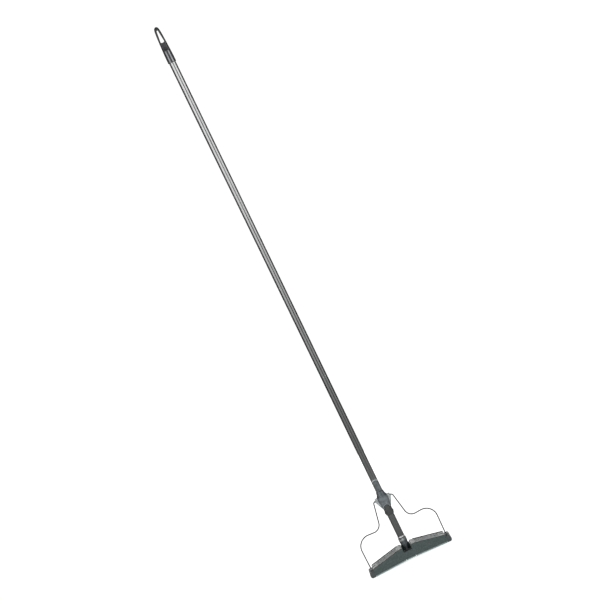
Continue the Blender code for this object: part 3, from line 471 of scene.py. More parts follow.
# A dark coating, with a slight painted brightening towards its top.
LOWER_TUBE_FINISH = DrawnTubeFinish(
    "coated_lower_tube",
    low=(0.05, 0.054, 0.054),
    high=(0.062, 0.066, 0.066),
    painted_reflection_fade=(0.05, 0.21),
    metallic=0.05,
    roughness=(0.48, 0.6),
    scuff=(0.12, 0.12, 0.12),
    # Painted shade at the outline.
    rim=0.85,
)
STEEL_FINISH = PlatedSteelFinish("plated_steel")
WIRE_FINISH = PlatedSteelFinish(
    "drawn_spring_wire",
    base=(0.07, 0.07, 0.073),
    pits=(0.04, 0.04, 0.043),
    edge=(0.14, 0.14, 0.14),
    metallic=0.7,
    roughness=(0.3, 0.45),
)
RING_FINISH = PlatedSteelFinish(
    "satin_ring",
    base=(0.6, 0.61, 0.61),
    pits=(0.4, 0.41, 0.41),
    edge=(0.8, 0.8, 0.8),
)
CAP_FINISH = MouldedFinish(
    "cap_moulding",
    base=(0.035, 0.037, 0.039),
    shade=(0.05, 0.052, 0.055),
    edge=(0.16, 0.165, 0.17),
    roughness=(0.28, 0.42),
    # Painted shade at the outline.
    rim=0.5,
)
# Painted reflection: a light grey that stands in for the bright bands running down the cap.
CAP_PAINTED_REFLECTION_FINISH = MouldedFinish(
    "cap_painted_reflection_strips",
    base=(0.36, 0.37, 0.39),
    shade=(0.26, 0.27, 0.285),
    edge=(0.4, 0.41, 0.43),
    roughness=(0.35, 0.5),
)
SLEEVE_FINISH = MouldedFinish(
    "sleeve_moulding",
    base=(0.034, 0.037, 0.036),
    shade=(0.046, 0.049, 0.048),
    specular=0.3,
    edge=(0.11, 0.115, 0.11),
    # Painted shade at the outline.
    rim=0.85,
)
BUTTON_FINISH = MouldedFinish(
    "button_moulding",
    base=(0.04, 0.042, 0.042),
    shade=(0.055, 0.058, 0.057),
    edge=(0.15, 0.155, 0.15),
)
YOKE_FINISH = MouldedFinish(
    "yoke_moulding",
    base=(0.055, 0.07, 0.08),
    shade=(0.11, 0.13, 0.142),
    edge=(0.3, 0.33, 0.34),
    # Painted shade at the outline.
    rim=0.55,
    roughness=(0.25, 0.38),
    coat=0.15,
)
EAR_FINISH = MouldedFinish(
    "ear_moulding",
    base=(0.34, 0.37, 0.375),
    shade=(0.24, 0.265, 0.27),
    edge=(0.58, 0.61, 0.61),
    roughness=(0.28, 0.4),
)
FERRULE_FINISH = MouldedFinish(
    "ferrule_moulding",
    base=(0.042, 0.054, 0.057),
    shade=(0.085, 0.1, 0.104),
    # Painted shade at the outline.
    rim=0.7,
    edge=(0.3, 0.32, 0.32),
    roughness=(0.25, 0.38),
)
KNUCKLE_FINISH = MouldedFinish(
    "knuckle_moulding",
    base=(0.055, 0.062, 0.068),
    shade=(0.095, 0.104, 0.112),
    # Painted shade at the outline.
    rim=0.7,
    edge=(0.3, 0.31, 0.32),
    roughness=(0.25, 0.4),
)
HEAD_FINISH = MouldedFinish(
    "head_moulding",
    base=(0.017, 0.033, 0.031),
    shade=(0.036, 0.059, 0.056),
    edge=(0.15, 0.185, 0.18),
    cloud_scale=260.0,
    grain_scale=1400.0,
    grain_depth=0.3,
    roughness=(0.3, 0.46),
)
# Painted shade: darker and duller than the head's moulding, to stand in for the shade along the
# roof's edges.
ROOF_RIM_PAINTED_SHADE_FINISH = MouldedFinish(
    "roof_rim_painted_shade_moulding",
    base=(0.012, 0.02, 0.019),
    shade=(0.022, 0.034, 0.032),
    edge=(0.06, 0.08, 0.078),
    roughness=(0.6, 0.78),
    specular=0.12,
)
# Painted light: lighter than the head's moulding, so that the shaded notch between the wings doesn't
# go black.
HUB_PAINTED_FILL_FINISH = MouldedFinish(
    "hub_painted_fill_moulding",
    base=(0.05, 0.075, 0.072),
    shade=(0.085, 0.115, 0.112),
    edge=(0.2, 0.24, 0.235),
    grain_scale=1400.0,
    roughness=(0.42, 0.6),
)
BLOCK_FINISH = MouldedFinish(
    "end_block_moulding",
    base=(0.024, 0.033, 0.033),
    shade=(0.04, 0.052, 0.05),
    edge=(0.15, 0.18, 0.175),
    cloud_scale=220.0,
)
HOOK_FINISH = HookTapeFinish("hook_tape")
FOAM_FINISH = HookTapeFinish(
    "foam_backing",
    base=(0.26, 0.32, 0.31),
    hollow=(0.17, 0.215, 0.21),
    fibre_scale=600.0,
)


# ------------------------------------------------------------ shaping meshes


def baked_mesh(piece: bpy.types.Object) -> bpy.types.Mesh:
    """The shape that a piece's modifiers give it, as a new plain mesh.

    Args:
        piece: The piece, with its modifiers on it.

    Returns:
        The new mesh.
    """
    bpy.context.view_layer.update()
    graph = bpy.context.evaluated_depsgraph_get()
    return bpy.data.meshes.new_from_object(piece.evaluated_get(graph), depsgraph=graph)


def settle(piece: bpy.types.Object, finish: Finish, sharp: float | None = 38.0) -> bpy.types.Object:
    """Turns a piece with live modifiers into one plain mesh in its finish.

    Args:
        piece: The piece, with its modifiers on it.
        finish: The finish of its whole surface.
        sharp: Edges over this many degrees stay sharp, or None to smooth them all.

    Returns:
        The same object with its new mesh and no modifiers.
    """
    mesh = baked_mesh(piece)
    piece.modifiers.clear()
    piece.data = mesh
    mesh.name = piece.name
    mesh.materials.clear()
    mesh.materials.append(finish.material())
    mesh.shade_smooth()
    if sharp is not None:
        mesh.set_sharp_from_angle(angle=math.radians(sharp))
    return piece


def seat(piece: bpy.types.Object, body: str, slot: Slot, *replaced: str) -> bpy.types.Object:
    """Puts a finished piece on its CAD body and reports it.

    Args:
        piece: The finished piece, at the origin.
        body: The CAD body that it rides on.
        slot: The record's slot that its finish stands for; not used.
        replaced: The CAD nodes that it is shown in place of.

    Returns:
        The same piece.
    """
    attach(piece, body)
    if replaced:
        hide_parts(*replaced)
    LOG.info("%s rides on %s, %d faces", piece.name, body, len(piece.data.polygons))
    return piece


def coat_node(node: str, finish: Finish) -> None:
    """Gives a CAD node that stays in view its finish.

    Args:
        node: The CAD node.
        finish: Its finish.
    """
    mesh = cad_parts[node].data
    mesh.materials.clear()
    mesh.materials.append(finish.material())
    LOG.info("%s keeps its CAD shape in %s", node, finish.name)


def middle(node: str) -> Vector:
    """The middle of a CAD node's box."""
    low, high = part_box(node)
    return (low + high) / 2


def eased_sections(sections: Sequence[POINT], steps: int = 6) -> list[POINT]:
    """Puts smooth in-between sections into a list of (z, half width, half depth).

    Args:
        sections: The sections that the shape passes through, from the bottom up.
        steps: How many spans each gap between two of them is split into.

    Returns:
        The longer list.
    """
    points = [Vector(section) for section in sections]
    eased = []
    for index in range(len(points) - 1):
        start, end = points[index], points[index + 1]
        before = points[max(index - 1, 0)]
        after = points[min(index + 2, len(points) - 1)]
        span = end[0] - start[0]
        rise_in = (end - before) / max(end[0] - before[0], 1e-9) * span
        rise_out = (after - start) / max(after[0] - start[0], 1e-9) * span
        for step in range(steps):
            t = step / steps
            point = (
                start * (2 * t**3 - 3 * t**2 + 1)
                + rise_in * (t**3 - 2 * t**2 + t)
                + end * (3 * t**2 - 2 * t**3)
                + rise_out * (t**3 - t**2)
            )
            eased.append((start[0] + span * t, point[1], point[2]))
    eased.append(tuple(points[-1]))
    return eased


class Blank:
    """A workpiece: one closed mesh that is cut, joined and then finished."""

    def __init__(self, shape: bmesh.types.BMesh) -> None:
        """Keeps the mesh that is worked on."""
        self.shape = shape

    @classmethod
    def block(cls, low: POINT, high: POINT) -> Blank:
        """A box between two corners.

        Args:
            low: The corner with the least of each.
            high: The corner with the most of each.

        Returns:
            The blank.
        """
        shape = bmesh.new()
        bmesh.ops.create_cube(shape, size=1)
        size = Matrix.Diagonal((*(b - a for a, b in zip(low, high)), 1))
        centre = Matrix.Translation([(a + b) / 2 for a, b in zip(low, high)])
        bmesh.ops.transform(shape, matrix=centre @ size, verts=shape.verts)
        return cls(shape)

    @classmethod
    def rod(cls, start: POINT, axis: Vector, length: float, radius: float, sides: int = 48) -> Blank:
        """A cylinder from a point along an axis.

        Args:
            start: The middle of its first end.
            axis: Its direction.
            length: Its length.
            radius: Its radius.
            sides: How many flat sides it has.

        Returns:
            The blank.
        """
        shape = bmesh.new()
        bmesh.ops.create_cone(
            shape, cap_ends=True, segments=sides, radius1=radius, radius2=radius, depth=length
        )
        turn = Z_AXIS.rotation_difference(axis).to_matrix().to_4x4()
        centre = Matrix.Translation(Vector(start) + axis * (length / 2))
        bmesh.ops.transform(shape, matrix=centre @ turn, verts=shape.verts)
        return cls(shape)

    @classmethod
    def skinned(cls, shape: bmesh.types.BMesh, rings: Sequence[list[bmesh.types.BMVert]]) -> Blank:
        """Closes a stack of rings with side faces and two flat ends.

        Args:
            shape: The mesh that holds the rings' points.
            rings: The rings from one end to the other, all with as many points.

        Returns:
            The blank.
        """
        for lower, upper in zip(rings, rings[1:]):
            for index in range(len(lower)):
                after = (index + 1) % len(lower)
                shape.faces.new((lower[index], lower[after], upper[after], upper[index]))
        shape.faces.new(rings[0])
        shape.faces.new(rings[-1])
        bmesh.ops.recalc_face_normals(shape, faces=shape.faces)
        return cls(shape)

    @classmethod
    def turned(cls, profile: Sequence[tuple[float, float]], sides: int = 96) -> Blank:
        """A ring-shaped blank from a closed profile of (radius, z), turned about Z.

        Args:
            profile: The points of the profile in order.
            sides: How many steps the turn has.

        Returns:
            The blank.
        """
        shape = bmesh.new()
        rings = []
        for step in range(sides):
            angle = math.tau * step / sides
            across, along = math.cos(angle), math.sin(angle)
            rings.append([shape.verts.new((r * across, r * along, z)) for r, z in profile])
        for step, ring in enumerate(rings):
            following = rings[(step + 1) % sides]
            for index in range(len(profile)):
                after = (index + 1) % len(profile)
                shape.faces.new((ring[index], following[index], following[after], ring[after]))
        bmesh.ops.recalc_face_normals(shape, faces=shape.faces)
        return cls(shape)

    @classmethod
    def lofted(cls, sections: Sequence[POINT], sides: int = 96) -> Blank:
        """A blank through oval sections of (z, half width, half depth), with flat ends.

        Args:
            sections: The sections from one end to the other.
            sides: How many points each section has.

        Returns:
            The blank.
        """
        shape = bmesh.new()
        rings = []
        for z, wide, deep in sections:
            turns = [math.tau * step / sides for step in range(sides)]
            rings.append(
                [shape.verts.new((wide * math.cos(a), deep * math.sin(a), z)) for a in turns]
            )
        return cls.skinned(shape, rings)

    @classmethod
    def prism(cls, outline: Sequence[tuple[float, float]], near: float, far: float) -> Blank:
        """An outline of (x, z) points carried from one Y to another.

        Args:
            outline: The points in order.
            near: The Y of its front.
            far: The Y of its back.

        Returns:
            The blank.
        """
        shape = bmesh.new()
        front = [shape.verts.new((x, near, z)) for x, z in outline]
        back = [shape.verts.new((x, far, z)) for x, z in outline]
        shape.faces.new(front)
        shape.faces.new(back)
        for index in range(len(outline)):
            after = (index + 1) % len(outline)
            shape.faces.new((front[index], front[after], back[after], back[index]))
        bmesh.ops.recalc_face_normals(shape, faces=shape.faces)
        return cls(shape)

    @classmethod
    def copied(cls, node: str) -> Blank:
        """A merged copy of a CAD node.

        Args:
            node: The CAD node.

        Returns:
            The blank.
        """
        shape = bmesh.new()
        shape.from_mesh(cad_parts[node].data)
        bmesh.ops.remove_doubles(shape, verts=shape.verts, dist=0.002 * MM)
        bmesh.ops.dissolve_limit(
            shape, angle_limit=math.radians(0.5), verts=shape.verts, edges=shape.edges
        )
        bmesh.ops.recalc_face_normals(shape, faces=shape.faces)
        return cls(shape)

    def moved(self, matrix: Matrix) -> Blank:
        """The blank put through a matrix, with its faces still outward.

        Args:
            matrix: The matrix.

        Returns:
            The same blank.
        """
        bmesh.ops.transform(self.shape, matrix=matrix, verts=self.shape.verts)
        if matrix.determinant() < 0:
            bmesh.ops.reverse_faces(self.shape, faces=self.shape.faces)
        return self

    def cut(self, *tools: Blank) -> Blank:
        """The blank without the tools, which are used up.

        Args:
            tools: The blanks that are taken away.

        Returns:
            The same blank.
        """
        for tool in tools:
            self._combine(tool, "DIFFERENCE")
        return self

    def joined(self, *others: Blank) -> Blank:
        """The blank and the others as one, which uses them up.

        Args:
            others: The blanks that are added.

        Returns:
            The same blank.
        """
        for other in others:
            self._combine(other, "UNION")
        return self

    def _combine(self, other: Blank, operation: str) -> None:
        """Replaces the blank by its exact Boolean with another.

        Args:
            other: The other blank, which is used up.
            operation: Blender's name for the operation.
        """
        base, tool = self.as_object("working"), other.as_object("working")
        modifier = base.modifiers.new("combine", "BOOLEAN")
        modifier.operation = operation
        modifier.solver = "EXACT"
        modifier.object = tool
        mesh = baked_mesh(base)
        self.shape = bmesh.new()
        self.shape.from_mesh(mesh)
        bmesh.ops.remove_doubles(self.shape, verts=self.shape.verts, dist=0.001 * MM)
        for obj in (base, tool):
            bpy.data.objects.remove(obj, do_unlink=True)

    def as_object(self, name: str) -> bpy.types.Object:
        """The blank as an object in the scene. The blank is used up.

        Args:
            name: The name of the object.

        Returns:
            The object.
        """
        mesh = bpy.data.meshes.new(name)
        self.shape.to_mesh(mesh)
        self.shape.free()
        piece = bpy.data.objects.new(name, mesh)
        bpy.context.scene.collection.objects.link(piece)
        return piece

    def moulded(
        self, name: str, finish: Finish, cell: float, passes: int = 3
    ) -> bpy.types.Object:
        """The blank as a moulding, with every edge softened.

        Args:
            name: The piece's name.
            finish: The finish of its surface.
            cell: The size of the cells that its skin is rebuilt from.
            passes: How many times the skin is smoothed.

        Returns:
            The finished piece.
        """
        piece = self.as_object(name)
        skin = piece.modifiers.new("skin", "REMESH")
        skin.mode = "VOXEL"
        skin.voxel_size = cell
        skin.use_smooth_shade = True
        soften = piece.modifiers.new("soften", "SMOOTH")
        soften.factor = 0.5
        soften.iterations = passes
        return settle(piece, finish, sharp=None)

    def machined(
        self, name: str, finish: Finish, width: float, steps: int = 2, sharp: float = 38.0
    ) -> bpy.types.Object:
        """The blank with its own faces and a narrow rounding on its edges.

        Args:
            name: The piece's name.
            finish: The finish of its surface.
            width: How wide the rounding is.
            steps: How many faces the rounding has.
            sharp: Edges over this many degrees are rounded.

        Returns:
            The finished piece.
        """
        piece = self.as_object(name)
        if width > 0:
            rounding = piece.modifiers.new("rounding", "BEVEL")
            rounding.width = width
            rounding.segments = steps
            rounding.limit_method = "ANGLE"
            rounding.angle_limit = math.radians(sharp)
        return settle(piece, finish)


# ------------------------------------------------------- geometry node trees


class Recipe:
    """A Geometry Nodes tree with named inputs that makes a plain mesh."""

    def __init__(self, name: str) -> None:
        """Starts the tree with its geometry and material inputs.

        Args:
            name: The tree's name.
        """
        self.tree = bpy.data.node_groups.new(name, "GeometryNodeTree")
        self.identifiers: dict[str, str] = {}
        self.tree.interface.new_socket("Start", in_out="INPUT", socket_type="NodeSocketGeometry")
        self.tree.interface.new_socket("Made", in_out="OUTPUT", socket_type="NodeSocketGeometry")
        self.sketch = NodeSketch(self.tree)
        self.entry = self.sketch.add("NodeGroupInput")
        self._input("Finish", "NodeSocketMaterial")

    def _input(self, name: str, kind: str) -> bpy.types.NodeSocket:
        """Adds a named input of one kind.

        Args:
            name: The name of the input.
            kind: Blender's name for its type.

        Returns:
            The output of the entry node that carries it.
        """
        item = self.tree.interface.new_socket(name, in_out="INPUT", socket_type=kind)
        self.identifiers[name] = item.identifier
        return self.entry.outputs[name]

    def size(self, name: str) -> bpy.types.NodeSocket:
        """A named size, in metres or as a share."""
        return self._input(name, "NodeSocketFloat")

    def count(self, name: str) -> bpy.types.NodeSocket:
        """A named whole number."""
        return self._input(name, "NodeSocketInt")

    def laid_along_y(self, upright: bpy.types.NodeSocket) -> bpy.types.NodeSocket:
        """Geometry drawn along Z, turned to lie along Y."""
        inputs = {"Geometry": upright, "Rotation": (math.pi / 2, 0, 0)}
        return self.sketch.add("GeometryNodeTransform", inputs).outputs[0]

    def close(self, made: bpy.types.NodeSocket, smooth: bool = True) -> None:
        """Ends the tree: instances are made real and the finish is put on.

        Args:
            made: The geometry so far.
            smooth: True if the faces are shaded smooth.
        """
        real = self.sketch.add("GeometryNodeRealizeInstances", {0: made}).outputs[0]
        inputs = {"Geometry": real, "Shade Smooth": smooth}
        shaded = self.sketch.add("GeometryNodeSetShadeSmooth", inputs).outputs[0]
        inputs = {"Geometry": shaded, "Material": self.entry.outputs["Finish"]}
        dressed = self.sketch.add("GeometryNodeSetMaterial", inputs).outputs[0]
        self.sketch.add("NodeGroupOutput", {0: dressed})

    def make(
        self,
        name: str,
        start: bpy.types.Mesh,
        finish: Finish,
        place: Matrix | None = None,
        **values: float,
    ) -> bpy.types.Object:
        """Runs the tree once and keeps its result as a plain mesh.

        Args:
            name: The piece's name.
            start: The mesh that goes in: points, or lines to follow.
            finish: The finish that is put on.
            place: Where the result goes, or None to leave it where it is.
            values: Each named input's value, with underscores for spaces.

        Returns:
            The finished piece.
        """
        piece = bpy.data.objects.new(name, start)
        bpy.context.scene.collection.objects.link(piece)
        modifier = piece.modifiers.new("recipe", "NODES")
        modifier.node_group = self.tree
        modifier[self.identifiers["Finish"]] = finish.material()
        for key, value in values.items():
            modifier[self.identifiers[key.replace("_", " ")]] = value
        mesh = baked_mesh(piece)
        piece.modifiers.clear()
        piece.data = mesh
        mesh.name = name
        if place is not None:
            mesh.transform(place)
            if place.determinant() < 0:
                mesh.flip_normals()
        return piece


class RodRecipe(Recipe):
    """A round bar that follows every line of the start mesh."""

    def __init__(self) -> None:
        """Builds the tree."""
        super().__init__("rod_along_path")
        radius, sides = self.size("Radius"), self.count("Sides")
        path = self.sketch.add("GeometryNodeMeshToCurve", {0: self.entry.outputs["Start"]})
        inputs = {"Resolution": sides, "Radius": radius}
        profile = self.sketch.add("GeometryNodeCurvePrimitiveCircle", inputs)
        inputs = {"Curve": path.outputs[0], "Profile Curve": profile.outputs[0], "Fill Caps": True}
        self.close(self.sketch.add("GeometryNodeCurveToMesh", inputs).outputs[0])


class HookRecipe(Recipe):
    """A field of tiny mushroom hooks that point down from the plane z = 0."""

    def __init__(self) -> None:
        """Builds the tree."""
        super().__init__("hook_field")
        add = self.sketch.add
        length, depth = self.size("Length"), self.size("Depth")
        rows, lanes = self.count("Rows"), self.count("Lanes")
        height, stalk = self.size("Height"), self.size("Stalk")
        seed = self.count("Seed")
        sizes = {"Size X": length, "Size Y": depth, "Vertices X": rows, "Vertices Y": lanes}
        field_grid = add("GeometryNodeMeshGrid", sizes).outputs[0]
        inputs = {"Vertices": 5, "Radius": stalk, "Depth": height}
        post = add("GeometryNodeMeshCylinder", inputs).outputs[0]
        crown_radius = self.sketch.math("MULTIPLY", stalk, 2.1)
        inputs = {"Radius": crown_radius, "Subdivisions": 1}
        crown = add("GeometryNodeMeshIcoSphere", inputs).outputs[0]
        half = self.sketch.math("MULTIPLY", height, -0.5)
        low = self.sketch.math("ADD", self.sketch.math("MULTIPLY", height, -1.0), crown_radius)
        post_place = add("ShaderNodeCombineXYZ", {"Z": half}).outputs[0]
        crown_place = add("ShaderNodeCombineXYZ", {"Z": low}).outputs[0]
        post = add("GeometryNodeTransform", {"Geometry": post, "Translation": post_place}).outputs[0]
        crown = add(
            "GeometryNodeTransform",
            {"Geometry": crown, "Translation": crown_place, "Scale": (1, 1, 0.55)},
        ).outputs[0]
        join = add("GeometryNodeJoinGeometry")
        for part in (post, crown):
            self.sketch.tree.links.new(part, join.inputs[0])
        jitter = add(
            "FunctionNodeRandomValue",
            {"Min": (-0.3 * MM, -0.3 * MM, 0), "Max": (0.3 * MM, 0.3 * MM, 0), "Seed": seed},
            data_type="FLOAT_VECTOR",
        ).outputs[0]
        moved = add("GeometryNodeSetPosition", {"Geometry": field_grid, "Offset": jitter}).outputs[0]
        lean = add(
            "FunctionNodeRandomValue",
            {"Min": (-0.12, -0.12, 0), "Max": (0.12, 0.12, math.tau), "Seed": seed},
            data_type="FLOAT_VECTOR",
        ).outputs[0]
        inputs = {"Points": moved, "Instance": join.outputs[0], "Rotation": lean}
        self.close(add("GeometryNodeInstanceOnPoints", inputs).outputs[0], smooth=False)


class RibRecipe(Recipe):
    """A ladder of round ribs that lie along Y and step up along Z."""

    def __init__(self) -> None:
        """Builds the tree."""
        super().__init__("grip_ribs")
        add = self.sketch.add
        count, pitch = self.count("Count"), self.size("Pitch")
        radius, length = self.size("Radius"), self.size("Length")
        steps = self.sketch.math("SUBTRACT", count, 1.0)
        low = self.sketch.math("MULTIPLY", self.sketch.math("MULTIPLY", steps, pitch), -0.5)
        start = add("ShaderNodeCombineXYZ", {"Z": low}).outputs[0]
        offset = add("ShaderNodeCombineXYZ", {"Z": pitch}).outputs[0]
        ladder = add(
            "GeometryNodeMeshLine", {"Count": count, "Start Location": start, "Offset": offset}
        ).outputs[0]
        inputs = {"Vertices": 14, "Radius": radius, "Depth": length}
        bar = add("GeometryNodeMeshCylinder", inputs).outputs[0]
        inputs = {"Segments": 14, "Rings": 8, "Radius": radius}
        end = add("GeometryNodeMeshUVSphere", inputs).outputs[0]
        join = add("GeometryNodeJoinGeometry")
        self.sketch.tree.links.new(bar, join.inputs[0])
        for share in (-0.5, 0.5):
            reach = self.sketch.math("MULTIPLY", length, share)
            spot = add("ShaderNodeCombineXYZ", {"Z": reach}).outputs[0]
            tip = add("GeometryNodeTransform", {"Geometry": end, "Translation": spot}).outputs[0]
            self.sketch.tree.links.new(tip, join.inputs[0])
        lying = self.laid_along_y(join.outputs[0])
        self.close(
            add("GeometryNodeInstanceOnPoints", {"Points": ladder, "Instance": lying}).outputs[0]
        )


class RivetRecipe(Recipe):
    """A pivot pin along Y with a domed head at each end, at every start point."""

    def __init__(self) -> None:
        """Builds the tree."""
        super().__init__("domed_pin")
        add = self.sketch.add
        span, shank = self.size("Span"), self.size("Shank Radius")
        head, dome = self.size("Head Radius"), self.size("Dome")
        inputs = {"Vertices": 24, "Radius": shank, "Depth": span}
        pin = add("GeometryNodeMeshCylinder", inputs).outputs[0]
        inputs = {"Segments": 28, "Rings": 14, "Radius": head}
        ball = add("GeometryNodeMeshUVSphere", inputs).outputs[0]
        squeeze = add("ShaderNodeCombineXYZ", {"X": 1.0, "Y": 1.0, "Z": dome}).outputs[0]
        join = add("GeometryNodeJoinGeometry")
        self.sketch.tree.links.new(pin, join.inputs[0])
        for share in (-0.5, 0.5):
            reach = self.sketch.math("MULTIPLY", span, share)
            spot = add("ShaderNodeCombineXYZ", {"Z": reach}).outputs[0]
            inputs = {"Geometry": ball, "Translation": spot, "Scale": squeeze}
            button = add("GeometryNodeTransform", inputs).outputs[0]
            self.sketch.tree.links.new(button, join.inputs[0])
        lying = self.laid_along_y(join.outputs[0])
        points = self.entry.outputs["Start"]
        self.close(
            add("GeometryNodeInstanceOnPoints", {"Points": points, "Instance": lying}).outputs[0]
        )


def line_mesh(name: str, lines: Iterable[Sequence[POINT]], closed: bool = False) -> bpy.types.Mesh:
    """A mesh of bare lines for a tree to follow.

    Args:
        name: The mesh's name.
        lines: Each line's points in order. A line of one point is a bare point.
        closed: True if each line ends where it starts.

    Returns:
        The mesh.
    """
    points: list[POINT] = []
    edges: list[tuple[int, int]] = []
    for line in lines:
        first = len(points)
        points.extend(tuple(point) for point in line)
        edges.extend((index, index + 1) for index in range(first, len(points) - 1))
        if closed:
            edges.append((len(points) - 1, first))
    mesh = bpy.data.meshes.new(name)
    mesh.from_pydata(points, edges, [])
    return mesh


@dataclass
class Recipes:
    """The node trees that several sub-assemblies share."""

    rod: RodRecipe = field(default_factory=RodRecipe)
    hooks: HookRecipe = field(default_factory=HookRecipe)
    ribs: RibRecipe = field(default_factory=RibRecipe)
    rivets: RivetRecipe = field(default_factory=RivetRecipe)


# ------------------------------------------------------------ sub-assemblies


@dataclass
class HandleTubes:
    """The upper and lower tubes of the handle."""

    wall: float = 1.5 * MM
    chamfer: float = 0.3 * MM
    slot_half_depth: float = 3.0 * MM
    slot_bottom: float = 135.4 * MM
    slot_top: float = 174.5 * MM

    def build(self) -> None:
        """Builds both tubes and seats them on the shaft."""
        seat(self.upper_tube(), "shaft", Slot.UPPER_TUBE, "upper_tube")
        seat(self.lower_tube(), "shaft", Slot.LOWER_TUBE, "lower_tube")

    def tube(self, node: str) -> Blank:
        """A round tube in the place of a CAD node.

        Args:
            node: The CAD node.

        Returns:
            The blank.
        """
        low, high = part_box(node)
        radius = high.x
        inside = radius - self.wall
        edge = self.chamfer
        profile = [
            (inside, low.z),
            (radius - edge, low.z),
            (radius, low.z + edge),
            (radius, high.z - edge),
            (radius - edge, high.z),
            (inside, high.z),
        ]
        return Blank.turned(profile)

    def upper_tube(self) -> bpy.types.Object:
        """The long bright tube."""
        return self.tube("upper_tube").machined("handle_tube_upper", UPPER_TUBE_FINISH, 0)

    def lower_tube(self) -> bpy.types.Object:
        """The short dark tube, with the two slots for the latch arms.

        Returns:
            The piece.
        """
        reach = 2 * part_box("lower_tube")[1].x
        half = self.slot_half_depth
        slot = Blank.block((-reach, -half, self.slot_bottom), (reach, half, self.slot_top))
        tube = self.tube("lower_tube").cut(slot)
        return tube.machined("handle_tube_lower", LOWER_TUBE_FINISH, 0)


@dataclass
class HangCap:
    """The tapered cap on the handle's top, with its hang hole and four light strips in recesses,
    which paint the bright reflection bands that run on from the tube.
    """

    overlap: float = 30.0 * MM
    bore: float = 9.8 * MM
    hole_low: float = 58.0 * MM
    hole_length: float = 35.0 * MM
    hole_half_width: float = 5.0 * MM
    hole_top_half_width: float = 1.8 * MM
    panel_turn: float = math.radians(22.0)
    panel_spread: float = math.radians(9.0)
    panel_low: float = 1.6 * MM
    panel_high: float = 34.0 * MM
    panel_depth: float = 0.7 * MM
    panel_sunk: float = 0.1 * MM
    skin_taper: float = 0.035
    skin_taper_length: float = 25.75 * MM
    recess_spread: float = 0.012
    recess_margin: float = 0.15 * MM
    recess_proud: float = 1.0 * MM
    bore_start: float = 5.0 * MM
    bore_extra: float = 5.3 * MM
    hole_foot_share: float = 0.6
    arc_steps: int = 12
    scoop_radius: float = 26.0 * MM
    scoop_out: float = 6.6 * MM
    scoop_below_hole: float = 9.0 * MM
    scoop_half_width: float = 6.0 * MM
    shares: tuple[POINT, ...] = (
        (0.0, 1.0, 1.0),
        (0.25, 0.965, 0.965),
        (0.39, 0.92, 0.85),
        (0.52, 0.87, 0.70),
        (0.68, 0.80, 0.61),
        (0.83, 0.71, 0.56),
        (0.91, 0.63, 0.52),
        (0.96, 0.50, 0.43),
        (0.99, 0.30, 0.26),
        (1.0, 0.12, 0.10),
    )

    def build(self) -> None:
        """Builds the cap and its light strips, a painted reflection, and seats them on the shaft."""
        seat(self.body(), "shaft", Slot.HANG_CAP, "hang_cap")
        seat(self.panels(), "shaft", Slot.LIGHT_PLASTIC)

    def sections(self) -> list[POINT]:
        """The cap's smooth outer sections.

        Returns:
            The sections, as (z, half width, half depth).
        """
        low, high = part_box("hang_cap")
        length, radius = high.z - low.z, high.x
        rough = [(low.z + length * z, radius * x, radius * y) for z, x, y in self.shares]
        return eased_sections(rough)

    def hole_outline(self) -> list[tuple[float, float]]:
        """The tear-shaped outline of the hang hole, as (x, z).

        Returns:
            The points in order.
        """
        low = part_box("hang_cap")[0].z + self.hole_low
        wide, narrow = self.hole_half_width, self.hole_top_half_width
        foot = wide * self.hole_foot_share
        rise = self.hole_length - foot - narrow
        right = []
        for step in range(self.arc_steps + 1):
            turn = math.pi / 2 * (step / self.arc_steps - 1)
            right.append((wide * math.cos(turn), low + foot * (1 + math.sin(turn))))
        for step in range(self.arc_steps + 1):
            turn = math.pi / 2 * step / self.arc_steps
            top = low + foot + rise
            right.append((narrow * math.cos(turn), top + narrow * math.sin(turn)))
        return right + [(-x, z) for x, z in reversed(right[1:-1])]

    def panel(self, turn: float, spread: float, margin: float, proud: float) -> Blank:
        """A curved strip on the cap's skin.

        Args:
            turn: Where its middle is, round the cap from the right.
            spread: Half its width, as an angle.
            margin: How far it is longer than its named length at each end.
            proud: How far it stands over the skin.

        Returns:
            The strip.
        """
        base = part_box("hang_cap")[0].z
        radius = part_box("hang_cap")[1].x
        low, high = base + self.panel_low - margin, base + self.panel_high + margin
        shape = bmesh.new()
        rings = []
        for row in range(9):
            z = low + (high - low) * row / 8
            skin = radius * (1 - self.skin_taper * (z - base) / self.skin_taper_length)
            turns = [turn + spread * (step / 6 - 1) for step in range(13)]
            outer = [(skin + proud, a) for a in turns]
            inner = [(skin - self.panel_depth, a) for a in reversed(turns)]
            loop = outer + inner
            rings.append([shape.verts.new((r * math.cos(a), r * math.sin(a), z)) for r, a in loop])
        return Blank.skinned(shape, rings)

    def panel_turns(self) -> list[float]:
        """Where the four panels are, two at the front and two at the back."""
        return [side * math.pi / 2 + way * self.panel_turn for side in (-1, 1) for way in (-1, 1)]

    def body(self) -> bpy.types.Object:
        """The cap, bored for the tube, with its hole and its panel recesses.

        Returns:
            The piece.
        """
        low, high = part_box("hang_cap")
        start = (0, 0, low.z - self.bore_start)
        bore = Blank.rod(start, Z_AXIS, self.overlap + self.bore_extra, self.bore)
        hole = Blank.prism(self.hole_outline(), -2 * high.x, 2 * high.x)
        cap = Blank.lofted(self.sections()).cut(bore, hole)
        for turn in self.panel_turns():
            spread = self.panel_spread + self.recess_spread
            cap.cut(self.panel(turn, spread, self.recess_margin, self.recess_proud))
        scoop_z = low.z + self.hole_low - self.scoop_below_hole
        half = self.scoop_half_width
        for side in (-1, 1):
            start = (-half, side * (self.scoop_radius + self.scoop_out), scoop_z)
            cap.cut(Blank.rod(start, X_AXIS, 2 * half, self.scoop_radius, 96))
        return cap.moulded("handle_cap", CAP_FINISH, 0.5 * MM, 4)

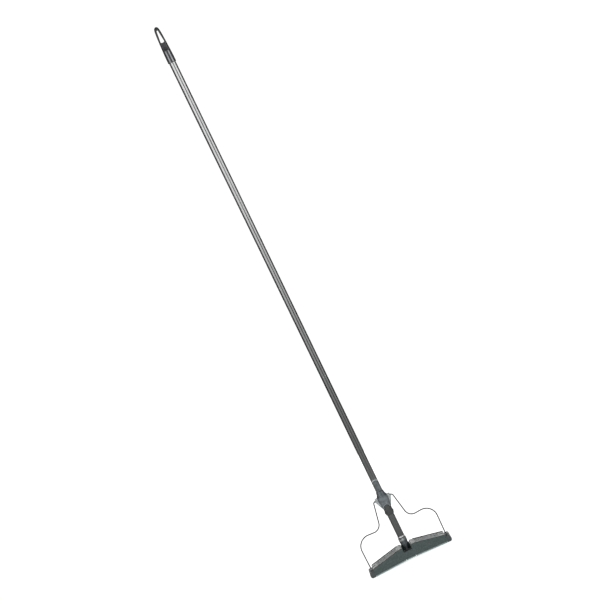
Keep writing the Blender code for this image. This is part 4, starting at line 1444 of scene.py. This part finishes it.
    def panels(self) -> bpy.types.Object:
        """The four light strips in the cap's recesses, painted light to stand in for reflection
        bands.

        Returns:
            The piece.
        """
        turns = self.panel_turns()
        strips = [self.panel(turn, self.panel_spread, 0, -self.panel_sunk) for turn in turns]
        return strips[0].joined(*strips[1:]).machined("cap_painted_reflection_strips", CAP_PAINTED_REFLECTION_FINISH, 0.15 * MM)


@dataclass
class Ferrule:
    """The moulded joint between the tubes, with a light bead that arches over its front as a painted
    highlight on the collar's top edge.
    """

    bead_radius: float = 3.0 * MM
    bead_ring: float = 6.75 * MM
    bead_drop: float = 3.4 * MM
    bead_from_top: float = 1.9 * MM
    bead_steps: int = 120
    bead_sharpness: float = 2.2

    def build(self, rod: RodRecipe) -> None:
        """Builds the collar and its bead and seats them on the shaft.

        Args:
            rod: The tree that sweeps the bead.
        """
        collar = Blank.copied("joint_ferrule").moulded("ferrule_collar", FERRULE_FINISH, 0.4 * MM, 2)
        seat(collar, "shaft", Slot.BLUE_GREY, "joint_ferrule")
        seat(self.bead(rod), "shaft", Slot.LIGHT_PLASTIC)

    def bead(self, rod: RodRecipe) -> bpy.types.Object:
        """The bead, a light strip that paints the collar's top-edge highlight: high at the front and
        the back, and low at the sides.

        Args:
            rod: The tree that sweeps it.

        Returns:
            The piece.
        """
        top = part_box("upper_tube")[0].z - self.bead_from_top
        path = []
        for step in range(self.bead_steps):
            turn = math.tau * step / self.bead_steps
            fall = self.bead_drop * abs(math.cos(turn)) ** self.bead_sharpness
            x, y = self.bead_ring * math.cos(turn), self.bead_ring * math.sin(turn)
            path.append((x, y, top - fall))
        lines = line_mesh("bead_path", [path], closed=True)
        # Painted highlight: the bead takes the light ear finish.
        return rod.make("ferrule_painted_highlight_bead", lines, EAR_FINISH, Radius=self.bead_radius, Sides=32)


@dataclass
class LatchSleeve:
    """The sleeve fixed on the lower tube, and its two squeeze buttons."""

    rib_count: int = 3
    rib_pitch: float = 1.5 * MM
    rib_radius: float = 0.32 * MM
    rib_length: float = 3.4 * MM
    rib_sunk: float = 0.12 * MM

    def build(self, ribs: RibRecipe) -> None:
        """Builds the sleeve and the buttons and seats each on its body.

        Args:
            ribs: The tree that makes the ribs.
        """
        sleeve = Blank.copied("latch_sleeve").moulded("sleeve_body", SLEEVE_FINISH, 0.35 * MM, 3)
        seat(sleeve, "shaft", Slot.DARK_PLASTIC, "latch_sleeve")
        coat_node("sleeve_screw", STEEL_FINISH)
        coat_node("latch_spring", STEEL_FINISH)
        for side in Side:
            self.button(side, ribs)

    def button(self, side: Side, ribs: RibRecipe) -> None:
        """One squeeze button and the ribs on its face.

        Args:
            side: The side of the mop it is on.
            ribs: The tree that makes the ribs.
        """
        node = f"latch_button_{side.word}"
        body = f"button_{side.word}"
        name = f"squeeze_button_{side.word}"
        piece = Blank.copied(node).moulded(name, BUTTON_FINISH, 0.25 * MM, 2)
        seat(piece, body, Slot.DARK_PLASTIC, node)
        low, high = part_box(node)
        face = max(abs(low.x), abs(high.x)) - self.rib_sunk
        height = middle("latch_spring").z
        grip = ribs.make(
            f"button_ribs_{side.word}",
            line_mesh("ribs_start", []),
            BUTTON_FINISH,
            place=Matrix.Translation((side.value * face, 0, height)),
            Count=self.rib_count,
            Pitch=self.rib_pitch,
            Radius=self.rib_radius,
            Length=self.rib_length,
        )
        seat(grip, body, Slot.DARK_PLASTIC)


@dataclass
class Yoke:
    """The bell-shaped yoke that slides on the tube, its ears, their rims and the pivot pins."""

    neck: float = 10.6 * MM
    body: float = 15.6 * MM
    skirt: float = 13.0 * MM
    bore: float = 9.8 * MM
    sleeve_room: float = 11.8 * MM
    sleeve_top: float = 164.6 * MM
    ledge_bottom: float = 165.2 * MM
    groove_bottom: float = 167.2 * MM
    groove_height: float = 4.6 * MM
    groove_radius: float = 11.7 * MM
    arch: float = 8.6 * MM
    arch_below_sleeve: float = 0.7 * MM
    pivot_x: float = 19.5 * MM
    pivot_z: float = 180.0 * MM
    ear_inside: float = 3.6 * MM
    ear_thickness: float = 2.0 * MM
    pin_hole: float = 1.5 * MM
    rim_radius: float = 0.55 * MM
    rim_inset: float = 0.75 * MM
    ear_inset: float = 0.35 * MM
    ear_root: float = 11.3 * MM
    ear_rise: float = 1.0 * MM
    skirt_flare: float = 1.2 * MM
    foot_rise: float = 0.6 * MM
    head_radius: float = 2.1 * MM
    head_dome: float = 0.3
    shank_radius: float = 1.2 * MM
    pin_shortfall: float = 1.0 * MM

    def build(self, recipes: Recipes) -> None:
        """Builds the yoke, its ear rims and its pins and seats them on the slider.

        Args:
            recipes: The shared node trees.
        """
        seat(self.bell(), "slider", Slot.BLUE_GREY)
        seat(self.ears(), "slider", Slot.LIGHT_PLASTIC, "slide_yoke")
        seat(self.rims(recipes.rod), "slider", Slot.LIGHT_PLASTIC)
        seat(self.pins(recipes.rivets), "slider", Slot.STEEL, "wire_pin_left", "wire_pin_right")

    def sections(self, inset: float = 0.0) -> list[POINT]:
        """The bell's smooth sections, drawn in by the inset.

        Args:
            inset: How far they are drawn in.

        Returns:
            The sections, as (z, half width, half depth).
        """
        low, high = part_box("slide_yoke")
        rough = (
            (low.z, self.skirt),
            (self.sleeve_top, self.skirt + self.skirt_flare),
            (self.pivot_z - 8 * MM, self.body),
            (self.pivot_z + 5 * MM, self.body),
            (self.pivot_z + 8.5 * MM, self.body * 0.92),
            (self.pivot_z + 14 * MM, self.neck * 1.12),
            (high.z, self.neck),
        )
        return eased_sections([(z, r - inset, r - inset) for z, r in rough])

    def hollow(self) -> list[Blank]:
        """The tools that hollow the yoke: bore, skirt, hook groove, arch and pin holes.

        Returns:
            The tools.
        """
        low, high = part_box("slide_yoke")
        start = low.z - 5 * MM
        bore = Blank.rod((0, 0, start), Z_AXIS, high.z - start + 5 * MM, self.bore, 96)
        skirt = Blank.rod((0, 0, start), Z_AXIS, self.ledge_bottom - start, self.sleeve_room, 96)
        groove_start = (0, 0, self.groove_bottom)
        groove = Blank.rod(groove_start, Z_AXIS, self.groove_height, self.groove_radius, 96)
        reach = 2 * self.body
        centre = self.sleeve_top - self.arch_below_sleeve - self.arch
        arch = Blank.rod((0, -reach, centre), Y_AXIS, 2 * reach, self.arch, 64)
        legs = Blank.block((-self.arch, -reach, start), (self.arch, reach, centre))
        pins = [
            Blank.rod((way * self.pivot_x, -reach, self.pivot_z), Y_AXIS, 2 * reach, self.pin_hole)
            for way in (-1, 1)
        ]
        return [bore, skirt, groove, arch.joined(legs), *pins]

    def bell(self) -> bpy.types.Object:
        """The bell itself."""
        bell = Blank.lofted(self.sections()).cut(*self.hollow())
        return bell.moulded("yoke_bell", YOKE_FINISH, 0.4 * MM, 4)

    def ear_outline(self) -> list[tuple[float, float]]:
        """The outline of the right ears, as (x, z), from the skirt out and up.

        Returns:
            The points in order.
        """
        low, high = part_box("slide_yoke")
        reach, z = high.x, self.pivot_z
        return [
            (self.ear_root, low.z + self.ear_rise),
            (self.skirt, low.z + self.ear_rise),
            (reach - 3.2 * MM, z - 12 * MM),
            (reach, z - 3.5 * MM),
            (reach, z + 4 * MM),
            (reach - 1.2 * MM, z + 6.2 * MM),
            (self.ear_root, z + 7.6 * MM),
        ]

    def ears(self) -> bpy.types.Object:
        """The four ear plates, two on each side, with their roots against the bell.

        Returns:
            The piece.
        """
        outline = self.ear_outline()
        mirrored = [(-x, z) for x, z in reversed(outline)]
        near, far = self.ear_inside, self.ear_inside + self.ear_thickness
        plates = [
            Blank.prism(shape, a, b)
            for shape in (outline, mirrored)
            for a, b in ((-far, -near), (near, far))
        ]
        ears = plates[0].joined(*plates[1:]).cut(Blank.lofted(self.sections(self.ear_inset)))
        return ears.cut(*self.hollow()).moulded("yoke_ears", EAR_FINISH, 0.35 * MM, 2)

    def rims(self, rod: RodRecipe) -> bpy.types.Object:
        """The raised rims along the outer edges of the ears.

        Args:
            rod: The tree that sweeps them.

        Returns:
            The piece.
        """
        outline = self.ear_outline()[1:-1]
        edge = [(x - self.rim_inset, z) for x, z in outline]
        face = self.ear_inside + self.ear_thickness
        lines = []
        for side in (-1, 1):
            for y in (-face, face):
                lines.append([(side * x, y, z) for x, z in edge])
        lines += [self.arch_line(side) for side in (-1, 1)]
        path = line_mesh("rim_path", lines)
        return rod.make("ear_rims", path, EAR_FINISH, Radius=self.rim_radius, Sides=10)

    def arch_line(self, side: int) -> list[POINT]:
        """The edge of the front or the back arch, on the bell's skin.

        Args:
            side: -1 for the front and 1 for the back.

        Returns:
            The edge's points, from one foot over the top to the other.
        """
        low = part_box("slide_yoke")[0].z
        centre = self.sleeve_top - self.arch_below_sleeve - self.arch
        turns = [math.pi * step / 24 for step in range(25)]
        arc = [(self.arch * math.cos(a), centre + self.arch * math.sin(a)) for a in turns]
        foot = low + self.foot_rise
        flat = [(self.arch, foot), *arc, (-self.arch, foot)]
        line = []
        for x, z in flat:
            share = min(1.0, (z - low) / (self.sleeve_top - low))
            skin = self.skirt + self.skirt_flare * share
            line.append((x, side * math.sqrt(skin**2 - x**2), z))
        return line

    def pins(self, rivets: RivetRecipe) -> bpy.types.Object:
        """The pivot pins through both pairs of ears, with domed heads.

        Args:
            rivets: The tree that makes them.

        Returns:
            The piece.
        """
        places = [[(side * self.pivot_x, 0.0, self.pivot_z)] for side in (-1, 1)]
        low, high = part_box("wire_pin_right")
        return rivets.make(
            "pivot_rivets",
            line_mesh("pin_places", places),
            STEEL_FINISH,
            Span=high.y - low.y - self.pin_shortfall,
            Shank_Radius=self.shank_radius,
            Head_Radius=self.head_radius,
            Dome=self.head_dome,
        )


@dataclass
class BraceWire:
    """One bent spring wire from an ear of the yoke to the end of a wing."""

    side: Side
    radius: float = 1.6 * MM
    start_x: float = 21.9 * MM
    shoulder_x: float = 27.9 * MM
    top_z: float = 180.0 * MM
    lean: float = math.radians(10.9)
    bend_z: float = 104.8 * MM
    rise: float = math.radians(3.5)
    outer_x: float = 113.0 * MM
    bends: tuple[float, float, float] = (4.5 * MM, 22.0 * MM, 32.0 * MM)
    foot_overlap: float = 3.0 * MM

    def build(self, rod: RodRecipe) -> None:
        """Builds the wire and its two ends and seats them on their body.

        Args:
            rod: The tree that sweeps the wire.
        """
        word, body = self.side.word, f"brace_{self.side.word}"
        path = [(self.side.value * p.x, p.y, p.z) for p in self.path()]
        lines = line_mesh("wire_path", [path])
        name = f"brace_rod_{word}"
        wire = rod.make(name, lines, WIRE_FINISH, Radius=self.radius, Sides=24)
        seat(wire, body, Slot.BRACE_WIRE, f"brace_wire_{word}")
        trunnion = Blank.copied(f"wire_trunnion_{word}")
        piece = trunnion.moulded(f"trunnion_{word}", EAR_FINISH, 0.22 * MM, 2)
        seat(piece, body, Slot.LIGHT_PLASTIC, f"wire_trunnion_{word}")
        ball = Blank.copied(f"foot_ball_{word}").moulded(f"foot_{word}", EAR_FINISH, 0.22 * MM, 3)
        seat(ball, body, Slot.LIGHT_PLASTIC, f"foot_ball_{word}")

    def corners(self) -> list[Vector]:
        """The points that the right wire would turn at if its bends were sharp.

        Returns:
            The points in order.
        """
        foot = middle("foot_ball_right")
        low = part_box("foot_ball_right")[0].z
        inner_x = self.shoulder_x + (self.top_z - self.bend_z) * math.tan(self.lean)
        outer_z = self.bend_z + (self.outer_x - inner_x) * math.tan(self.rise)
        return [
            Vector((self.start_x, 0, self.top_z)),
            Vector((self.shoulder_x, 0, self.top_z)),
            Vector((inner_x, 0, self.bend_z)),
            Vector((self.outer_x, 0, outer_z)),
            Vector((foot.x, 0, low + self.foot_overlap)),
        ]

    def path(self, steps: int = 14) -> list[Vector]:
        """The right wire's centre line, with a round arc at each bend.

        Args:
            steps: How many spans each arc has.

        Returns:
            The points in order.
        """
        corners = self.corners()
        line = [corners[0]]
        for before, corner, after, bend in zip(corners, corners[1:], corners[2:], self.bends):
            way_in = (corner - before).normalized()
            way_out = (after - corner).normalized()
            turn = way_in.angle(way_out)
            reach = bend * math.tan(turn / 2)
            start, end = corner - way_in * reach, corner + way_out * reach
            inward = (way_out - way_in).normalized()
            centre = corner + inward * (bend / math.cos(turn / 2))
            for step in range(steps + 1):
                arm = (start - centre).slerp(end - centre, step / steps)
                line.append(centre + arm * bend)
        line.append(corners[-1])
        return line


@dataclass
class Knuckle:
    """The knuckle between the lower tube and the head, its ring, facet and eyelet."""

    facet_z: float = 57.3 * MM
    facet_half: tuple[float, float] = (4.3 * MM, 4.7 * MM)
    facet_proud: float = 0.6 * MM
    facet_edge: float = 0.1 * MM
    facet_root: float = 2.6 * MM
    facet_peak: float = 0.8 * MM
    ring_inside: float = 8.05 * MM
    ring_roll: float = 1.1 * MM
    ring_edge: float = 0.2 * MM
    eyelet_bore: float = 0.9 * MM
    eyelet_neck: float = 1.7 * MM
    eyelet_depth: float = 4.2 * MM
    eyelet_flange: float = 0.8 * MM
    eyelet_back: float = 1.1 * MM
    eyelet_lip: float = 0.45 * MM

    def build(self) -> None:
        """Builds the pieces and seats them on the shaft."""
        body = Blank.copied("knuckle").moulded("knuckle_body", KNUCKLE_FINISH, 0.4 * MM, 3)
        seat(body, "shaft", Slot.BLUE_GREY, "knuckle")
        seat(self.ring(), "shaft", Slot.STEEL, "collar_ring")
        seat(self.eyelet(), "shaft", Slot.STEEL, "knuckle_eyelet")
        seat(self.facet(), "shaft", Slot.LIGHT_PLASTIC)

    def ring(self) -> bpy.types.Object:
        """The bright ring under the lower tube, rounded like a rolled bead.

        Returns:
            The piece.
        """
        low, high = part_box("collar_ring")
        radius, half = high.x, (high.z - low.z) / 2
        centre = (low.z + high.z) / 2
        profile = [(self.ring_inside, centre - half + self.ring_edge)]
        for step in range(13):
            turn = math.pi * (step / 12 - 0.5)
            bulge = radius - self.ring_roll + self.ring_roll * math.cos(turn)
            profile.append((bulge, centre + half * math.sin(turn)))
        profile.append((self.ring_inside, centre + half - self.ring_edge))
        return Blank.turned(profile).machined("collar_bead", RING_FINISH, 0)

    def eyelet(self) -> bpy.types.Object:
        """The rolled eyelet at the knuckle's front left.

        Returns:
            The piece.
        """
        low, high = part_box("knuckle_eyelet")
        centre = middle("knuckle_eyelet")
        radius = (high.x - low.x) / 2
        lip = self.eyelet_lip
        profile = [
            (self.eyelet_bore, -self.eyelet_depth),
            (self.eyelet_neck, -self.eyelet_depth),
            (self.eyelet_neck, -self.eyelet_flange),
            (radius - 0.1 * MM, -self.eyelet_flange),
        ]
        for step in range(9):
            turn = math.pi * step / 8
            profile.append((radius - lip + lip * math.cos(turn), -lip + lip * math.sin(turn)))
        profile.append((self.eyelet_bore, -self.eyelet_back))
        turned = Blank.turned(profile, 40)
        spot = Matrix.Translation((centre.x, low.y, centre.z))
        stand = spot @ Matrix.Rotation(math.pi / 2, 4, "X")
        return turned.moved(stand).machined("rolled_eyelet", RING_FINISH, 0)

    def skin(self, x: float) -> float:
        """How far forward the facet's rim is at a distance from the middle."""
        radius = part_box("knuckle")[1].x
        return -math.sqrt(radius**2 - x**2) - self.facet_edge

    def facet(self) -> bpy.types.Object:
        """The diamond-shaped boss on the knuckle's front, cut into four faces, in a light finish that
        paints a bright highlight on it.

        Returns:
            The piece.
        """
        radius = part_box("knuckle")[1].x
        wide, tall = self.facet_half
        sunk = self.facet_root - radius
        shape = bmesh.new()
        spots = ((wide, 0), (0, tall), (-wide, 0), (0, -tall))
        rim = [shape.verts.new((x, self.skin(x), self.facet_z + z)) for x, z in spots]
        root = [shape.verts.new((x, sunk, self.facet_z + z)) for x, z in spots]
        peak = (0, -radius - self.facet_proud, self.facet_z + self.facet_peak)
        top = shape.verts.new(peak)
        for index in range(4):
            after = (index + 1) % 4
            shape.faces.new((rim[index], rim[after], top))
            shape.faces.new((rim[index], rim[after], root[after], root[index]))
        shape.faces.new(root)
        bmesh.ops.recalc_face_normals(shape, faces=shape.faces)
        # Painted highlight: the boss takes the light ear finish.
        return Blank(shape).machined("knuckle_facet_painted_highlight", EAR_FINISH, 0.18 * MM, 2, sharp=12)


@dataclass
class HookPad:
    """A foam pad faced with hook tape, as under the hub and under each wing."""

    name: str
    node: str
    body: str
    length: float
    depth: float
    thickness: float = 4.2 * MM
    hook_height: float = 1.15 * MM
    pitch: float = 2.1 * MM
    margin: float = 1.6 * MM
    stalk: float = 0.22 * MM
    root_gap: float = 0.05 * MM
    seed: int = 3

    def build(self, hooks: HookRecipe, place: Matrix) -> None:
        """Builds the foam and its hooks and seats them on their body.

        Args:
            hooks: The tree that makes the hooks.
            place: From the pad's own frame, whose origin is the middle of its face, to the mop's.
        """
        half_length, half_depth = self.length / 2, self.depth / 2
        low = (-half_length, -half_depth, self.hook_height)
        foam = Blank.block(low, (half_length, half_depth, self.thickness)).moved(place)
        piece = foam.machined(f"foam_pad_{self.name}", FOAM_FINISH, 0.5 * MM, 3)
        seat(piece, self.body, Slot.HOOK_STRIP, self.node)
        length, depth = self.length - self.margin, self.depth - self.margin
        field_place = place @ Matrix.Translation((0, 0, self.hook_height + self.root_gap))
        piece = hooks.make(
            f"hook_field_{self.name}",
            line_mesh("hooks_start", []),
            HOOK_FINISH,
            place=field_place,
            Length=length,
            Depth=depth,
            Rows=max(2, round(length / self.pitch)),
            Lanes=max(2, round(depth / self.pitch)),
            Height=self.hook_height,
            Stalk=self.stalk,
            Seed=self.seed,
        )
        seat(piece, self.body, Slot.HOOK_STRIP)


@dataclass
class Hub:
    """The hub between the wings, with its hook pad and hinge pins."""

    pad_overhang: float = 0.9 * MM

    def build(self, hooks: HookRecipe) -> None:
        """Builds the hub and seats it.

        Args:
            hooks: The tree that makes the hooks.
        """
        # The hub takes a lightened finish: painted light in its shaded notch.
        block = Blank.copied("hub_block").moulded("hub_cradle", HUB_PAINTED_FILL_FINISH, 0.5 * MM, 2)
        seat(block, "hub", Slot.HEAD_PLASTIC, "hub_block")
        for node in ("tilt_pin", "hinge_pin_left", "hinge_pin_right"):
            coat_node(node, STEEL_FINISH)
        low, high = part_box("hub_strip")
        length = high.x - low.x + 2 * self.pad_overhang
        pad = HookPad("hub", "hub_strip", "hub", length, high.y - low.y, thickness=high.z - low.z)
        pad.build(hooks, Matrix.Translation((0, 0, low.z)))


@dataclass
class Wing:
    """One folding half of the head."""

    side: Side
    droop: float = math.radians(2.3)
    hinge_height: float = 33.5 * MM
    roof_above_hinge: float = 4.65 * MM
    roof_slope: float = math.radians(9.4)
    rim_start: float = 7.0 * MM
    rim_end: float = 91.2 * MM
    rim_width: float = 1.6 * MM
    rim_height: float = 1.1 * MM
    rib_rows: tuple[float, ...] = (-18.0 * MM, -6.0 * MM, 6.0 * MM, 18.0 * MM)
    rib_radius: float = 0.7 * MM
    rib_start: float = 12.0 * MM
    rib_end: float = 76.0 * MM
    rib_sunk_share: float = 0.45
    rim_sunk: float = 0.3 * MM
    pad_start: float = 0.7 * MM
    pad_end: float = 91.9 * MM

    def build(self, recipes: Recipes) -> None:
        """Builds the wing's pieces and seats them on its body.

        Args:
            recipes: The shared node trees.
        """
        word = self.side.word
        body = f"wing_{word}"
        shell = Blank.copied(f"wing_shell_{word}")
        cover = shell.machined(f"wing_cover_{word}", HEAD_FINISH, 0)
        seat(cover, body, Slot.HEAD_PLASTIC, f"wing_shell_{word}")
        seat(self.rims(), body, Slot.HEAD_PLASTIC)
        seat(self.ribs(recipes.rod), body, Slot.HEAD_PLASTIC)
        block = Blank.copied(f"end_cap_{word}")
        block = block.moulded(f"end_block_{word}", BLOCK_FINISH, 0.45 * MM, 8)
        seat(block, body, Slot.DARK_PLASTIC, f"end_cap_{word}")
        lug = Blank.copied(f"foot_keeper_{word}")
        lug = lug.moulded(f"keeper_lug_{word}", EAR_FINISH, 0.25 * MM, 3)
        seat(lug, body, Slot.LIGHT_PLASTIC, f"foot_keeper_{word}")
        coat_node(f"base_plate_{word}", HEAD_FINISH)
        for name in ("inner", "outer", "front_end", "back_end"):
            coat_node(f"{name}_screw_{word}", STEEL_FINISH)
        self.pad(recipes.hooks)

    def frame_matrix(self) -> Matrix:
        """From the wing's own frame, with its origin on the hinge, to the mop's.

        Returns:
            The matrix.
        """
        hinge = middle("hinge_pin_right")
        turn = Matrix.Rotation(self.droop, 4, "Y")
        return self.side.mirrored() @ Matrix.Translation((hinge.x, 0, hinge.z)) @ turn

    def roof(self, along: float) -> float:
        """The height of the roof over the hinge, at a distance along the wing."""
        return self.roof_above_hinge - along * math.tan(self.roof_slope)

    def rims(self) -> bpy.types.Object:
        """The raised rims along the front and back edges of the roof, in a darker finish that paints
        the shade along those edges.

        Returns:
            The piece.
        """
        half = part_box(f"wing_shell_{self.side.word}")[1].y
        start, end = self.rim_start, self.rim_end
        outline = [
            (start, self.roof(start) - self.rim_sunk),
            (end, self.roof(end) - self.rim_sunk),
            (end, self.roof(end) + self.rim_height * 0.4),
            (end - 2 * MM, self.roof(end - 2 * MM) + self.rim_height),
            (start + 3 * MM, self.roof(start + 3 * MM) + self.rim_height),
            (start, self.roof(start) + self.rim_height * 0.3),
        ]
        back = Blank.prism(outline, half - self.rim_width, half - 0.05 * MM)
        drop = self.rim_height * 0.3
        low = outline[:2] + [(x, z - drop) for x, z in outline[2:]]
        front = Blank.prism(low, 0.05 * MM - half, self.rim_width * 1.3 - half)
        rims = back.joined(front).moved(self.frame_matrix())
        return rims.machined(f"roof_rims_{self.side.word}", ROOF_RIM_PAINTED_SHADE_FINISH, 0.3 * MM, 3)

    def ribs(self, rod: RodRecipe) -> bpy.types.Object:
        """The low stiffening ribs along the roof.

        Args:
            rod: The tree that sweeps them.

        Returns:
            The piece.
        """
        start, end = self.rib_start, self.rib_end
        sunk = self.rib_radius * self.rib_sunk_share
        place = self.frame_matrix()
        lines = []
        for y in self.rib_rows:
            ends = ((start, self.roof(start) - sunk), (end, self.roof(end) - sunk))
            lines.append([tuple(place @ Vector((x, y, z))) for x, z in ends])
        path = line_mesh("rib_path", lines)
        name = f"roof_ribs_{self.side.word}"
        return rod.make(name, path, HEAD_FINISH, Radius=self.rib_radius, Sides=12)

    def pad(self, hooks: HookRecipe) -> None:
        """The wing's foam pad with its hook tape.

        Args:
            hooks: The tree that makes the hooks.
        """
        word = self.side.word
        low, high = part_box(f"wing_strip_{word}")
        along = (self.pad_start + self.pad_end) / 2
        place = self.frame_matrix() @ Matrix.Translation((along, 0, -self.hinge_height))
        pad = HookPad(
            word,
            f"wing_strip_{word}",
            f"wing_{word}",
            self.pad_end - self.pad_start,
            high.y - low.y,
            seed=5 + self.side.value,
        )
        pad.build(hooks, place)


# -------------------------------------------------------------------- studio


@dataclass(frozen=True)
class SoftPanel:
    """One soft light: its place round the mop from the front to the right, and its size."""

    name: str
    turn: float
    away: float
    height: float
    size: tuple[float, float]
    watts: float


@dataclass
class Studio:
    """The pale floor, the soft lights and the camera."""

    aim: POINT = (0.0311, 0.0, 0.7581)
    distance: float = 8.0
    lens: float = 179.9
    elevation: float = math.radians(5.0)
    roll: float = math.radians(25.76)
    floor_radius: float = 2.2
    surround_lit: float = 0.4
    surround_mirrored: float = 0.1
    surround_seen: float = 1.05
    panels: tuple[SoftPanel, ...] = (
        SoftPanel("soft_left", math.radians(-35), 2.3, 1.1, (2.4, 2.6), 27),
        SoftPanel("soft_right", math.radians(47), 2.3, 1.1, (2.0, 2.6), 22),
        SoftPanel("soft_back", math.radians(180), 2.6, 0.5, (3.2, 0.9), 18),
    )

    def build(self) -> None:
        """Builds the whole studio."""
        self.floor()
        self.world()
        for panel in self.panels:
            self.light(panel)
        self.camera()
        bpy.context.scene.view_settings.view_transform = "Standard"

    def floor(self) -> None:
        """A round pale floor under the mop."""
        shape = bmesh.new()
        bmesh.ops.create_circle(shape, cap_ends=True, segments=128, radius=self.floor_radius)
        mesh = bpy.data.meshes.new("studio_floor")
        shape.to_mesh(mesh)
        shape.free()
        mesh.materials.append(FloorFinish("studio_floor").material())
        floor = bpy.data.objects.new("studio_floor", mesh)
        bpy.context.scene.collection.objects.link(floor)

    def world(self) -> None:
        """A white surround to look at, with a dimmer one to light and reflect."""
        world = bpy.data.worlds.new("studio_world")
        bpy.context.scene.world = world
        world.use_nodes = True
        sketch = NodeSketch(world.node_tree)
        back = world.node_tree.nodes["Background"]
        path = sketch.add("ShaderNodeLightPath")
        levels = (self.surround_lit, self.surround_mirrored)
        dim = sketch.spread(path.outputs["Is Glossy Ray"], (0, 1), levels)
        seen = path.outputs["Is Camera Ray"]
        white = sketch.math("MULTIPLY", seen, self.surround_seen)
        rest = sketch.math("MULTIPLY", sketch.math("SUBTRACT", 1.0, seen), dim)
        back.inputs["Color"].default_value = (1, 1, 1, 1)
        sketch.feed(back.inputs["Strength"], sketch.math("ADD", white, rest))

    def light(self, panel: SoftPanel) -> None:
        """Adds a soft light that faces the handle and isn't seen itself.

        Args:
            panel: The light's place, size and strength.
        """
        data = bpy.data.lights.new(panel.name, "AREA")
        data.shape = "RECTANGLE"
        data.size, data.size_y = panel.size
        data.energy = panel.watts
        light = bpy.data.objects.new(panel.name, data)
        light.visible_camera = False
        across, back = math.sin(panel.turn), -math.cos(panel.turn)
        place = Vector((panel.away * across, panel.away * back, panel.height))
        light.location = place
        light.rotation_mode = "QUATERNION"
        facing = Vector((0, 0, panel.height)) - place
        light.rotation_quaternion = facing.to_track_quat("-Z", "Y")
        bpy.context.scene.collection.objects.link(light)

    def camera(self) -> None:
        """The long-lens camera, rolled so that the handle leans across the frame."""
        back = Vector((0, -math.cos(self.elevation), math.sin(self.elevation)))
        level = X_AXIS
        upright = back.cross(level)
        right = level * math.cos(self.roll) - upright * math.sin(self.roll)
        up = level * math.sin(self.roll) + upright * math.cos(self.roll)
        turn = Matrix((right, up, back)).transposed()
        data = bpy.data.cameras.new("studio_camera")
        data.lens = self.lens
        data.sensor_width = 36.0
        camera = bpy.data.objects.new("studio_camera", data)
        camera.location = Vector(self.aim) + back * self.distance
        camera.rotation_mode = "QUATERNION"
        camera.rotation_quaternion = turn.to_quaternion()
        bpy.context.scene.collection.objects.link(camera)
        bpy.context.scene.camera = camera


def main() -> None:
    """Builds every sub-assembly in order, then the studio."""
    logging.basicConfig(level=logging.INFO, format="%(name)s: %(message)s")
    recipes = Recipes()
    HandleTubes().build()
    HangCap().build()
    Ferrule().build(recipes.rod)
    LatchSleeve().build(recipes.ribs)
    Yoke().build(recipes)
    Knuckle().build()
    Hub().build(recipes.hooks)
    for side in Side:
        BraceWire(side).build(recipes.rod)
        Wing(side).build(recipes)
    Studio().build()


if __name__ == "__main__":
    main()
